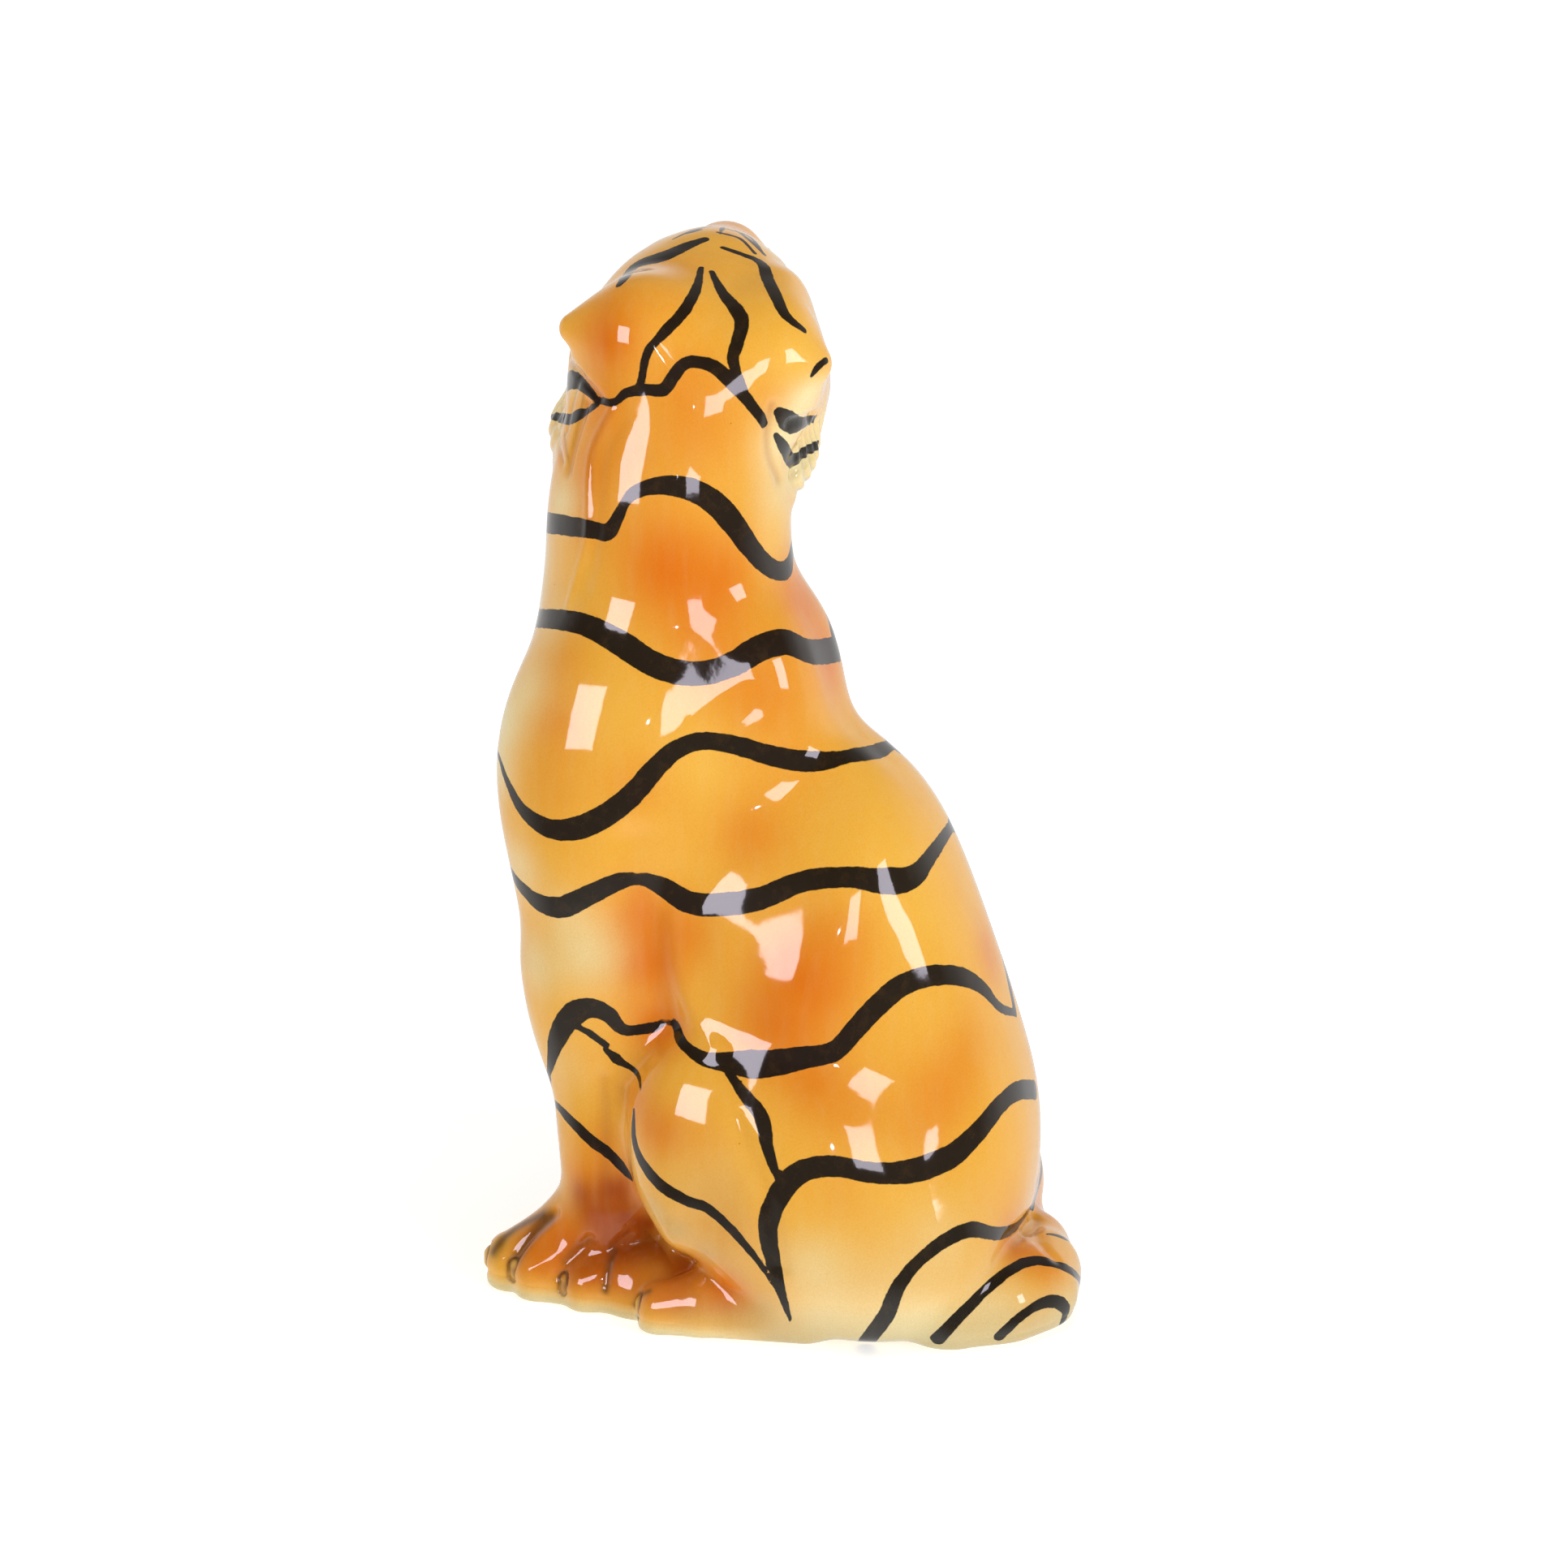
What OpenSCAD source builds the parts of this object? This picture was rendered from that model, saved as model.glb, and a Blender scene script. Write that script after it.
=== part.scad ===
// Glazed ceramic sitting tiger, slip-cast: a hollow torso and a hollow head
// luted together at the neck, with ears, legs, feet and tail luted on.
// Millimetres, +Z up. The figure faces -Y and its own left side is +X.
// Origin: on the flat base, midway between the haunches.

/* [Statue] */
// Overall height of the figure
statue_h = 433; // [300:1:600]
// Wall of the slip-cast shell
wall = 5; // [4:0.5:7]
// Thickness of the closed base
floor_t = 7; // [5:0.5:10]
// Diameter of the round drain hole in the base
drain_d = 24; // [14:1:32]

/* [Head] */
// Turn of the head towards the figure's right, degrees
head_turn = 85; // [70:1:92]
// Upward tilt of the head, degrees
head_tilt = 30; // [22:1:33]
// Lean of the head towards its right shoulder, degrees
head_roll = 8; // [0:1:10]
// How far the ears stand out from the skull
ear_reach = 14; // [9:1:18]

/* [Limbs] */
// How far the right forepaw stands behind the left one
paw_stagger = 13; // [0:1:16]
// Radius of the toes
toe_r = 11; // [10:0.5:12]
// Radius of the tail where it leaves the rump
tail_r = 21; // [19:0.5:23]

/* [Facets] */
// Facets round the torso and the head
sides = 56; // [40:4:60]

/* [Hidden] */

// All shapes are drawn at a height of 433 and scaled as a whole.
k = statue_h / 433;
w_in = wall / k;          // wall in drawing units
f_in = floor_t / k;       // base thickness in drawing units
edge_r = 5;               // rounding of the lower edge
cove_r = 9;               // rounding inside, above the base
seam_z = 322;             // height of the neck seam
drain_y = 42;             // drain hole, behind the origin

glaze_orange = [0.93, 0.60, 0.16];
glaze_deep = [0.86, 0.45, 0.08];
glaze_rust = [0.66, 0.29, 0.06];

// ---------------------------------------------------------------- masses
// A mass is an egg [0, centre, radii, turn, blend], a tapered rod
// [1, start, span, span squared, start radius, radius change, blend] or a
// loaf [2, centre, radii, turn, blend], an egg with flatter sides.
function turn_t(a) = let(cx = cos(a.x), sx = sin(a.x), cy = cos(a.y),
                         sy = sin(a.y), cz = cos(a.z), sz = sin(a.z))
    [[cz*cy, sz*cy, -sy],
     [cz*sy*sx - sz*cx, sz*sy*sx + cz*cx, cy*sx],
     [cz*sy*cx + sz*sx, sz*sy*cx - cz*sx, cy*cx]];
function egg(c, r, a, b) = [0, c, r, turn_t(a), b];
function loaf(c, r, a, b) = [2, c, r, turn_t(a), b];
function rod(p, q, r0, r1, b) = [1, p, q - p, (q - p)*(q - p), r0, r1 - r0, b];
function rods(p, q, r0, r1, b) = [for (s = [1, -1]) rod(flip(p, s), flip(q, s), r0, r1, b)];
function flip(v, s) = [s*v.x, v.y, v.z];
function eggs(c, r, a, b) =
    [for (s = [1, -1]) egg(flip(c, s), r, [a.x, s*a.y, s*a.z], b)];

// Distance to one mass, less than zero inside it
function egg_d(q, r) = let(a = [q.x/r.x, q.y/r.y, q.z/r.z], n = norm(a))
    n*(n - 1) / max(0.000001, norm([a.x/r.x, a.y/r.y, a.z/r.z]));
function loaf_d(q, r, n = 2.45) =
    let(a = abs(q.x/r.x) + 0.000001, b = abs(q.y/r.y) + 0.000001, c = abs(q.z/r.z),
        m = pow(pow(a, n) + pow(b, n), 1/n), g = norm([m, c]), e = pow(m, 2 - n))
    (g - 1)*g / norm([e*pow(a, n - 1)/r.x, e*pow(b, n - 1)/r.y, c/r.z]);
function rod_d(q, t) = let(h = max(0, min(1, (q*t[2]) / t[3])))
    norm(q - h*t[2]) - t[4] - h*t[5];
function mass_d(p, t) = t[0] == 0 ? egg_d(t[3]*(p - t[1]), t[2]) :
    t[0] == 1 ? rod_d(p - t[1], t) : loaf_d(t[3]*(p - t[1]), t[2]);
// Smooth union of two distances
function blend(a, b, w) = w <= 0 ? min(a, b) :
    let(h = max(0, w - abs(a - b)) / w) min(a, b) - h*h*w/4;
function all_d(p, m, i = 0, d = 10000) = i == len(m) ? d :
    all_d(p, m, i + 1, blend(d, mass_d(p, m[i]), m[i][len(m[i]) - 1]));

// Torso: pelvis, rib cage, shoulders, neck, thighs, rump, chest, withers,
// knees, shanks
TORSO = concat(
    [loaf([0, 27, 64], [67, 79, 108], [0, 0, 0], 0),
     loaf([0, 3, 147], [62, 73, 90], [-10, 0, 0], 34),
     egg([0, -43, 245], [56, 60, 66], [0, 0, 0], 30),
     egg([0, -48, 316], [49, 49, 96], [-4, 0, 0], 24)],
    eggs([52, 22, 64], [34, 69, 50], [-34, 0, 4], 18),
    eggs([46, 47, 29], [33, 50.5, 34], [0, 0, 0], 22),
    eggs([38, -65, 227], [28.5, 42, 53], [0, 0, 0], 24),
    eggs([19, -7, 256], [17, 20, 28], [0, 0, 0], 24),
    eggs([57, -22, 82], [22, 26.5, 34], [0, 0, 0], 16),
    rods([60, -20, 60], [66, 18, 21], 22, 12, 10));

// Head, in its own frame: x to its left, y towards the nose, z to the crown
head_c = [-12, -38, 384];
head_axes = let(f = [-sin(head_turn), -cos(head_turn), 0],
                l = [cos(head_turn), -sin(head_turn), 0], z = [0, 0, 1],
                y = f*cos(head_tilt) + z*sin(head_tilt),
                u = z*cos(head_tilt) - f*sin(head_tilt))
    [l*cos(head_roll) + u*sin(head_roll), y,
     u*cos(head_roll) - l*sin(head_roll)];
HEAD = concat(
    [egg([-0.3, -5, 2], [51, 47, 37], [0, 0, 0], 0),
     egg([1.3, 26, 7.3], [35.5, 33, 23], [0, 0, 0], 16),
     rod([0, 36, 8], [0, 66, -6], 18.4, 16.6, 12)],
    eggs([12, 66, -17], [15, 16, 14], [0, 0, 0], 8),
    [egg([0, 58, -32], [15, 16, 10], [0, 0, 0], 8)],
    eggs([31, 10, -20], [21, 27, 26], [0, 0, 0], 12),
    [egg([24, 8, 8.7], [11.4, 23, 10.5], [0, 0, 0], 12),
     egg([-27.4, 8, 17.1], [11.8, 23, 16.1], [0, 0, 0], 12),
     egg([41, -11, -34.5], [16.5, 17, 15], [0, 0, 0], 7),
     egg([-39.3, -10, -33], [11.7, 16, 13], [0, 0, 0], 7)]);

function torso_d(p) = all_d(p, TORSO);
function whole_d(p) = p.z < 285 ? torso_d(p) :
    blend(torso_d(p), all_d(head_axes*(p - head_c), HEAD), 14);

// ------------------------------------------------------------- skin points
// How far along a ray from inside the clay lies "deep" below the skin
function reach(o, d, deep, n = 11, r = 8) = n == 0 ? r :
    reach(o, d, deep, n - 1, max(1, r - whole_d(o + r*d) - deep));

// Middle of the horizontal section at height z
function mid(z) = let(t = max(0, (z - 60) / (seam_z - 60)))
    [head_c.x*t*t, 25 + (head_c.y - 25)*t, z];
function quarter(z, r) = z >= r ? 0 : r - sqrt(max(0, r*r - (r - z)*(r - z)));
function section(z, deep) = [for (j = [0:sides - 1])
    let(d = [cos(360*j/sides), sin(360*j/sides), 0], o = mid(z))
    o + reach(o, d, deep)*d];

OUT_Z = concat([0, 0.7, 2, 4, 7], [for (i = [1:36]) 7 + (seam_z - 7)*i/36]);
IN_Z = concat([f_in, f_in + 1.5, f_in + 4, f_in + 9],
              [for (i = [1:24]) f_in + 9 + (seam_z - f_in - 9)*i/24]);
function torso_skin() = [for (z = OUT_Z) section(z, quarter(z, edge_r))];
function torso_inside() = [for (i = [len(IN_Z) - 1:-1:0])
    section(IN_Z[i], w_in + quarter(IN_Z[i] - f_in, cove_r))];

// Head skin: rays from a point between the eyes and the crown, starting on
// the neck seam and drawn closer together towards the muzzle
view_c = head_c + 18*head_axes[1];
function ray_a(j) = let(a = 360*j/sides, m = 270 - head_turn)
    a - 26*sin(a - m);
function seam_ring(deep) = [for (j = [0:sides - 1])
    let(d = [cos(ray_a(j)), sin(ray_a(j)), 0], o = [view_c.x, view_c.y, seam_z])
    o + reach(o, d, deep)*d];
function head_ring(t, deep, low) = [for (j = [0:sides - 1])
    let(rho = norm([low[j].x - view_c.x, low[j].y - view_c.y]),
        e0 = atan2(seam_z - view_c.z, rho), e = e0 + (90 - e0)*t,
        d = [cos(ray_a(j))*cos(e), sin(ray_a(j))*cos(e), sin(e)])
    t == 0 ? low[j] : view_c + reach(view_c, d, deep, 14)*d];
function head_top(deep) = view_c + [0, 0, reach(view_c, [0, 0, 1], deep)];
HEAD_T = [for (i = [0:29]) i/30];
HEAD_TI = [for (i = [0:13]) i/14];
function head_skin() = let(low = seam_ring(0))
    [for (t = HEAD_T) head_ring(t, 0, low)];
function head_inside() = let(low = seam_ring(w_in))
    [for (i = [len(HEAD_TI) - 1:-1:0]) head_ring(HEAD_TI[i], w_in, low)];

// Skin over a chain of rings; each end is a flat cap, or a fan to a point
function flat(rings) = [for (r = rings) each r];
function band(n, m) = [for (i = [0:n - 2], j = [0:m - 1])
    let(a = i*m + j, b = i*m + (j + 1) % m) each [[a, a + m, b + m], [a, b + m, b]]];
module cup(rings) {
    n = len(rings); m = len(rings[0]);
    polyhedron(flat(rings), concat(band(n, m), [[for (j = [0:m - 1]) j]],
        [[for (j = [m - 1:-1:0]) (n - 1)*m + j]]), convexity = 8);
}
module fan_cup(rings, p, q) {
    n = len(rings); m = len(rings[0]); i0 = n*m;
    polyhedron(concat(flat(rings), [p, q]), concat(band(n, m),
        [for (j = [0:m - 1]) [i0, j, (j + 1) % m]],
        [for (j = [0:m - 1]) [i0 + 1, (n - 1)*m + (j + 1) % m, (n - 1)*m + j]]),
        convexity = 8);
}
module fan_top(rings, q) {
    n = len(rings); m = len(rings[0]); i0 = n*m;
    polyhedron(concat(flat(rings), [q]), concat(band(n, m),
        [[for (j = [0:m - 1]) j]],
        [for (j = [0:m - 1]) [i0, (n - 1)*m + (j + 1) % m, (n - 1)*m + j]]),
        convexity = 8);
}
module torso_solid() { cup(torso_skin()); }
module head_solid() { fan_top(head_skin(), head_top(0)); }

// ------------------------------------------------------------- small shapes
// A row of balls [x, y, z, r], each joined to the next
module chain(b, fn = 20) {
    for (i = [0:len(b) - 2]) hull() {
        translate([b[i][0], b[i][1], b[i][2]]) sphere(b[i][3], $fn = fn);
        translate([b[i+1][0], b[i+1][1], b[i+1][2]]) sphere(b[i+1][3], $fn = fn);
    }
}
// An egg-shaped lump with its centre at c
module lump(c, r, a = 0, fn = 20) {
    translate(c) rotate([a, 0, 0]) scale(r) sphere(1, $fn = fn);
}
// A toe from p to q with its claw set into the tip
module toe(p, q, r0, r1) {
    a = atan2(q.x - p.x, p.y - q.y);
    chain([[p.x, p.y, p.z, r0], [q.x, q.y, q.z, r1]], 16);
    translate(q) rotate([0, 0, a]) hull() {
        translate([0, -0.93*(r1 - 1.4), 0.36*(r1 - 1.4)]) sphere(2.5, $fn = 10);
        translate([0, -(r1 - 1), -0.34*(r1 - 1)]) sphere(2.1, $fn = 10);
    }
}
// Everything above the ground
module above_ground() {
    intersection() {
        children();
        translate([-300, -300, 0]) cube([600, 600, 600]);
    }
}
module on_head() {
    a = head_axes;
    multmatrix([[a[0].x, a[1].x, a[2].x, head_c.x],
                [a[0].y, a[1].y, a[2].y, head_c.y],
                [a[0].z, a[1].z, a[2].z, head_c.z], [0, 0, 0, 1]]) children();
}

// ------------------------------------------------------------------- limbs
module ear(s) {
    root = s > 0 ? [21, -17, 26, 22.2] : [-27, -11, 19.5, 19.5];
    tip = s > 0 ? [34.1 + ear_reach, -19.5, 25.3, 5.7] : [-33.4 - ear_reach, -14.5, 20.1, 5.8];
    difference() {
        on_head() difference() {
            chain([root, tip], 32);
            // hollow at the front of the ear
            translate([s*38, 9, 22]) rotate([0, 0, -25*s]) scale([12, 14, 13])
                sphere(1, $fn = 24);
        }
        head_solid();
    }
}
module foreleg(s, back) {
    difference() {
        above_ground() {
            lump([s*36, -69, 172], [28, 29, 74], -7, 24);
            chain([[s*36, -66, 140, 25], [s*37, -63.5 + back*0.4, 90, 23.5],
                   [s*38, -61 + back*0.85, 45, 22], [s*39, -66 + back, 18, 21]], 22);
            lump([s*40, -72 + back, 8], [21, 30, 27]);
            chain([[s*39, -70 + back, 36, 15], [s*41, -94 + back, 15, 13]], 18);
            toe([s*27, -84 + back, 14], [s*28, -101 + back, 9.5], toe_r + 2, toe_r);
            toe([s*39, -88 + back, 16], [s*42, -104.5 + back, 10], toe_r + 3, toe_r + 1);
            toe([s*47, -78 + back, 15], [s*50, -91 + back, 9.5], toe_r + 2, toe_r);
            toe([s*52, -56 + back, 12], [s*56, -68 + back, 8.5], toe_r + 1, toe_r - 0.7);
        }
        torso_solid();
    }
}
module hind_foot(s) {
    difference() {
        above_ground() {
            chain([[s*64, 26, 8, 13], [s*66, -14, 8, 15]], 18);
            toe([s*56, -32, 9.5], [s*57, -48, 8], toe_r, toe_r - 1.4);
            toe([s*68, -16, 10], [s*71, -32, 8], toe_r + 2, toe_r - 0.5);
            // clay web between the hind foot and the forepaw
            lump([s*52, -40, 4], [15, 22, 19]);
        }
        torso_solid();
        foreleg(s, s > 0 ? 0 : paw_stagger);
    }
}

// ----------------------------------------------------------------- modules
module torso_casting() {
    color(glaze_orange) scale(k) difference() {
        cup(concat(torso_skin(), torso_inside()));
        translate([0, drain_y, -1]) cylinder(d = drain_d / k, h = f_in + 2, $fn = 64);
    }
}
module head_casting() {
    color(glaze_orange) scale(k)
        fan_cup(concat(head_inside(), head_skin()), head_top(w_in), head_top(0));
}
module left_ear() { color(glaze_deep) scale(k) ear(1); }
module right_ear() { color(glaze_orange) scale(k) ear(-1); }
module left_foreleg() { color(glaze_orange) scale(k) foreleg(1, 0); }
module right_foreleg() { color(glaze_orange) scale(k) foreleg(-1, paw_stagger); }
module left_hind_foot() { color(glaze_rust) scale(k) hind_foot(1); }
module right_hind_foot() { color(glaze_rust) scale(k) hind_foot(-1); }
module tail() {
    color(glaze_orange) scale(k) difference() {
        above_ground() scale([1, 1, 0.91]) chain([[48, 82, 13, tail_r],
            [36, 98, 14, tail_r - 0.5], [22, 107, 14, tail_r - 1], [4, 106, 14.5, tail_r - 2.5],
            [-16, 99, 15, tail_r - 4], [-36, 86, 15, tail_r - 5], [-58, 68, 15, tail_r - 6],
            [-76, 46, 14, tail_r - 7], [-87, 28, 13, tail_r - 9], [-93, 12, 12, tail_r - 12]], 20);
        torso_solid();
        hind_foot(-1);
    }
}

torso_casting();
head_casting();
left_ear();
right_ear();
left_foreleg();
right_foreleg();
left_hind_foot();
right_hind_foot();
tail();
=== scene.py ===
import math
from concurrent.futures import ThreadPoolExecutor

import bpy
import numpy as np
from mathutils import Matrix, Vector


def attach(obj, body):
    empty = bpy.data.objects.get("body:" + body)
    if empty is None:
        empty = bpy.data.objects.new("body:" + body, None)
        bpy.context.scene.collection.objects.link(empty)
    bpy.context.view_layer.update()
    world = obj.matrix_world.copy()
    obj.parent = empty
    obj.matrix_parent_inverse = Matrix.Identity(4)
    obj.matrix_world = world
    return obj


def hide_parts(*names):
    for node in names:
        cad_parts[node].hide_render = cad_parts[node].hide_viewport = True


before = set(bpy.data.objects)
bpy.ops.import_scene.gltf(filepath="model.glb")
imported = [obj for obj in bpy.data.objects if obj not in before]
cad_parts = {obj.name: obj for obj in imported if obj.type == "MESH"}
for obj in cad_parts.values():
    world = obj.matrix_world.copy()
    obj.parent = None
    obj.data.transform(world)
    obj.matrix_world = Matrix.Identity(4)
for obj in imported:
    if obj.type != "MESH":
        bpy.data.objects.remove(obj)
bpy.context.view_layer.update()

# Everything below is worked out in millimetres, in the part's own frame, and
# turned into metres when a mesh is made.  The figure faces -Y, its own left is
# +X, and it stands on z = 0.

# ------------------------------------------------------------------ shape
# shape-begin
AZ, EL, DIST, PPM = 105.0, 17.0, 2000.0, 3.04      # the photograph's view
AIM = np.array([0.0, 0.0, 213.0])
SEAM_Z = 322.0                                     # neck seam of the castings
DRAIN = (0.0, 42.0, 12.0)                          # drain hole: x, y, radius


def smin(a, b, k):
    h = np.maximum(k - np.abs(a - b), 0.0) / k
    return np.minimum(a, b) - h * h * k * 0.25


def smax(a, b, k):
    return -smin(-a, -b, k)


def rot_xyz(deg):
    ax, ay, az = np.radians(deg)
    rx = np.array([[1, 0, 0], [0, np.cos(ax), -np.sin(ax)], [0, np.sin(ax), np.cos(ax)]])
    ry = np.array([[np.cos(ay), 0, np.sin(ay)], [0, 1, 0], [-np.sin(ay), 0, np.cos(ay)]])
    rz = np.array([[np.cos(az), -np.sin(az), 0], [np.sin(az), np.cos(az), 0], [0, 0, 1]])
    return rz @ ry @ rx


def egg(p, c, r, rot=None):
    q = p - np.asarray(c, float)
    if rot is not None:
        q = q @ rot_xyz(rot)
    r = np.asarray(r, float)
    k0 = np.sqrt(((q / r) ** 2).sum(1)) + 1e-9
    k1 = np.sqrt(((q / (r * r)) ** 2).sum(1)) + 1e-9
    return k0 * (k0 - 1.0) / k1


def loaf(p, c, r, rot=None, n=2.45):
    """An egg with flatter sides: a rounded square from above."""
    q = p - np.asarray(c, float)
    if rot is not None:
        q = q @ rot_xyz(rot)
    r = np.asarray(r, float)
    u = np.abs(q / r) + 1e-9
    m = (u[:, 0] ** n + u[:, 1] ** n) ** (1.0 / n)
    k0 = np.sqrt(m * m + u[:, 2] ** 2)
    gx = m ** (2.0 - n) * u[:, 0] ** (n - 1) / r[0]
    gy = m ** (2.0 - n) * u[:, 1] ** (n - 1) / r[1]
    gz = u[:, 2] / r[2]
    k1 = np.sqrt(gx * gx + gy * gy + gz * gz) / k0 + 1e-9
    return (k0 - 1.0) / k1


def rod(p, a, b, ra, rb):
    """Two balls and the cone that touches both."""
    a = np.asarray(a, float)
    v = np.asarray(b, float) - a
    l2 = v @ v
    rr = ra - rb
    a2 = l2 - rr * rr
    q = p - a
    y = q @ v
    z = y - l2
    x2 = ((q * l2 - y[:, None] * v) ** 2).sum(1)
    y2, z2 = y * y * l2, z * z * l2
    k = np.sign(rr) * rr * rr * x2
    d = (np.sqrt(x2 * a2 / l2) + y * rr) / l2 - ra
    d = np.where(np.sign(y) * a2 * y2 < k, np.sqrt(x2 + y2) / l2 - ra, d)
    return np.where(np.sign(z) * a2 * z2 > k, np.sqrt(x2 + z2) / l2 - rb, d)


def mirror_rows(rows):
    """Each row and its copy on the other side."""
    out = []
    for m in rows:
        for s in (1, -1):
            if m[0] == "E":
                c, r, k, rot = m[1], m[2], m[3], (m[4] if len(m) > 4 else None)
                if rot is not None:
                    rot = (rot[0], s * rot[1], s * rot[2])
                out.append(("E", (s * c[0], c[1], c[2]), r, k, rot))
            else:
                a, b = m[1], m[2]
                out.append(("C", (s * a[0], a[1], a[2]), (s * b[0], b[1], b[2]), m[3], m[4], m[5]))
    return out


def fold(p, rows):
    d = None
    for m in rows:
        if m[0] == "E":
            e = egg(p, m[1], m[2], m[4] if len(m) > 4 else None)
            k = m[3]
        elif m[0] == "L":
            e = loaf(p, m[1], m[2], m[4] if len(m) > 4 else None)
            k = m[3]
        else:
            e = rod(p, m[1], m[2], m[3], m[4])
            k = m[5]
        d = e if d is None else smin(d, e, k)
    return d


def within(p, lo, hi):
    return ((p >= np.asarray(lo)) & (p <= np.asarray(hi))).all(1)


def some(p, lo, hi, fn):
    """fn at the points inside a box, far away elsewhere."""
    d = np.full(len(p), 400.0)
    m = within(p, lo, hi)
    if m.any():
        d[m] = fn(p[m])
    return d


TORSO = [
    ("L", (0, 27, 64), (67, 79, 108), 1),                      # pelvis
    ("L", (0, 3, 147), (62, 73, 90), 34, (-10, 0, 0)),         # ribs
    ("E", (0, -43, 245), (56, 60, 66), 30),                    # shoulders
    ("E", (0, -48, 316), (49, 49, 96), 24, (-4, 0, 0)),        # neck
] + mirror_rows([
    ("E", (52, 22, 64), (34, 69, 50), 18, (-34, 0, 4)),        # thigh
    ("E", (46, 47, 29), (33, 50.5, 34), 22),                     # rump
    ("E", (38, -65, 227), (28.5, 42, 53), 24),                   # chest
    ("E", (19, -7, 256), (17, 20, 28), 24),                    # withers
    ("E", (57, -22, 82), (22, 26.5, 34), 16),                  # knee
    ("C", (60, -20, 60), (66, 18, 21), 22, 12, 10),            # shank
])
LEG = [
    ("E", (36, -69, 172), (28, 29, 74), 16, (-7, 0, 0)),
    ("C", (36, -66, 140), (38, -61, 45), 25, 22, 18),
    ("E", (40, -72, 8), (21, 30, 27), 14),
    ("C", (39, -70, 36), (41, -94, 15), 15, 13, 9),            # instep
]
LEG_TOES = [
    ("C", (27, -84, 16), (28, -101, 11), 13.0, 11.2, 3.5),
    ("C", (39, -88, 18), (42, -104.5, 11.5), 14.0, 12.0, 3.5),
    ("C", (47, -78, 17), (50, -91, 11), 13.0, 11.0, 3.5),
    ("C", (52, -56, 14), (56, -68, 10), 12.0, 10.3, 3.5),
]
FOOT = [
    ("C", (64, 26, 9), (66, -14, 10), 13, 15, 8),
    ("C", (56, -32, 11), (57, -48, 9.5), 11.0, 9.6, 4),
    ("C", (68, -16, 12), (71, -32, 9.5), 13.0, 10.5, 4),
    ("E", (52, -40, 4), (15, 22, 19), 8),
]
TAIL = [(48, 82, 13, 21), (36, 98, 14, 20.5), (22, 107, 14, 20), (4, 106, 14.5, 18.5),
        (-16, 99, 15, 17), (-36, 86, 15, 16), (-58, 68, 15, 15), (-76, 46, 14, 14),
        (-87, 28, 13, 12), (-93, 12, 12, 9)]
HC = np.array([-12.0, -38.0, 384.0])
TURN, TILT, ROLL = 85.0, 30.0, 8.0
STAGGER = 13.0                                      # right forepaw set back


def head_axes():
    a, t, r = np.radians([TURN, TILT, ROLL])
    z = np.array([0.0, 0.0, 1.0])
    fh = np.array([-np.sin(a), -np.cos(a), 0.0])
    l = np.array([np.cos(a), -np.sin(a), 0.0])
    f = fh * np.cos(t) + z * np.sin(t)
    u = -fh * np.sin(t) + z * np.cos(t)
    return np.stack([l * np.cos(r) + u * np.sin(r), f, -l * np.sin(r) + u * np.cos(r)], 1)


HF = head_axes()
HEAD = [
    ("E", (-0.3, -5, 2), (51, 47, 37), 1),
    ("E", (1.3, 26, 7.3), (35.5, 33, 23), 16),
    ("C", (0, 36, 8), (0, 66, -6), 18.4, 16.6, 12),
] + mirror_rows([("E", (12, 66, -17), (15, 16, 14), 8)]) + [
    ("E", (0, 58, -32), (15, 16, 10), 8),
] + mirror_rows([
    ("E", (31, 10, -20), (21, 27, 26), 12),
]) + [
    ("E", (24, 8, 8.7), (11.4, 23, 10.5), 12),                # temples
    ("E", (-27.4, 8, 17.1), (11.8, 23, 16.1), 12),
    ("E", (41, -11, -34.5), (16.5, 17, 15), 7),               # cheek ruffs
    ("E", (-39.3, -10, -33), (11.7, 16, 13), 7),
]
FACE = mirror_rows([
    ("C", (8, 46, 11), (20, 42, 11), 5.5, 4.5, 9),            # brow
])
EARS = [("C", (21, -17, 26), (48.1, -19.5, 25.3), 22.2, 5.7, 8),
        ("C", (-27, -11, 19.5), (-47.4, -14.5, 20.1), 19.5, 5.8, 8)]


def sd_torso(p):
    return fold(p, TORSO)


def sd_leg(p, s):
    q = p * np.array([s, 1.0, 1.0])
    if s < 0:
        q = q.copy()
        q[:, 1] -= STAGGER * np.clip((130.0 - q[:, 2]) / 100.0, 0.0, 1.0)

    def fn(x):
        x = x.copy()
        x[:, 2] = np.maximum(x[:, 2], 8.0)           # upright sides down to the sole
        d = fold(x, LEG)
        return some_min(x, d, (5, -130, -30), (85, -30, 55), lambda y: fold(y, LEG_TOES), 4.0)
    return some(q, (-40, -140, -40), (110, 10, 290), fn)


def some_min(p, d, lo, hi, fn, k):
    m = within(p, lo, hi)
    if m.any():
        d[m] = smin(d[m], fn(p[m]), k)
    return d


def sd_foot(p, s):
    q = p * np.array([s, 1.0, 1.0])


    def fn(x):
        x = x.copy()
        x[:, 2] = np.maximum(x[:, 2], 7.0)
        return fold(x, FOOT)
    return some(q, (15, -90, -40), (130, 70, 60), fn)


def sd_tail(p):
    def fn(x):
        d = None
        for a, b in zip(TAIL[:-1], TAIL[1:]):
            e = rod(x, a[:3], b[:3], a[3], b[3])
            d = e if d is None else smin(d, e, 9.0)
        return d
    p = p.copy()
    p[:, 2] = np.maximum(p[:, 2], 6.0) * 1.1
    return some(p, (-140, -30, -40), (110, 170, 80), fn)


def to_head(p):
    return (p - HC) @ HF


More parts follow.
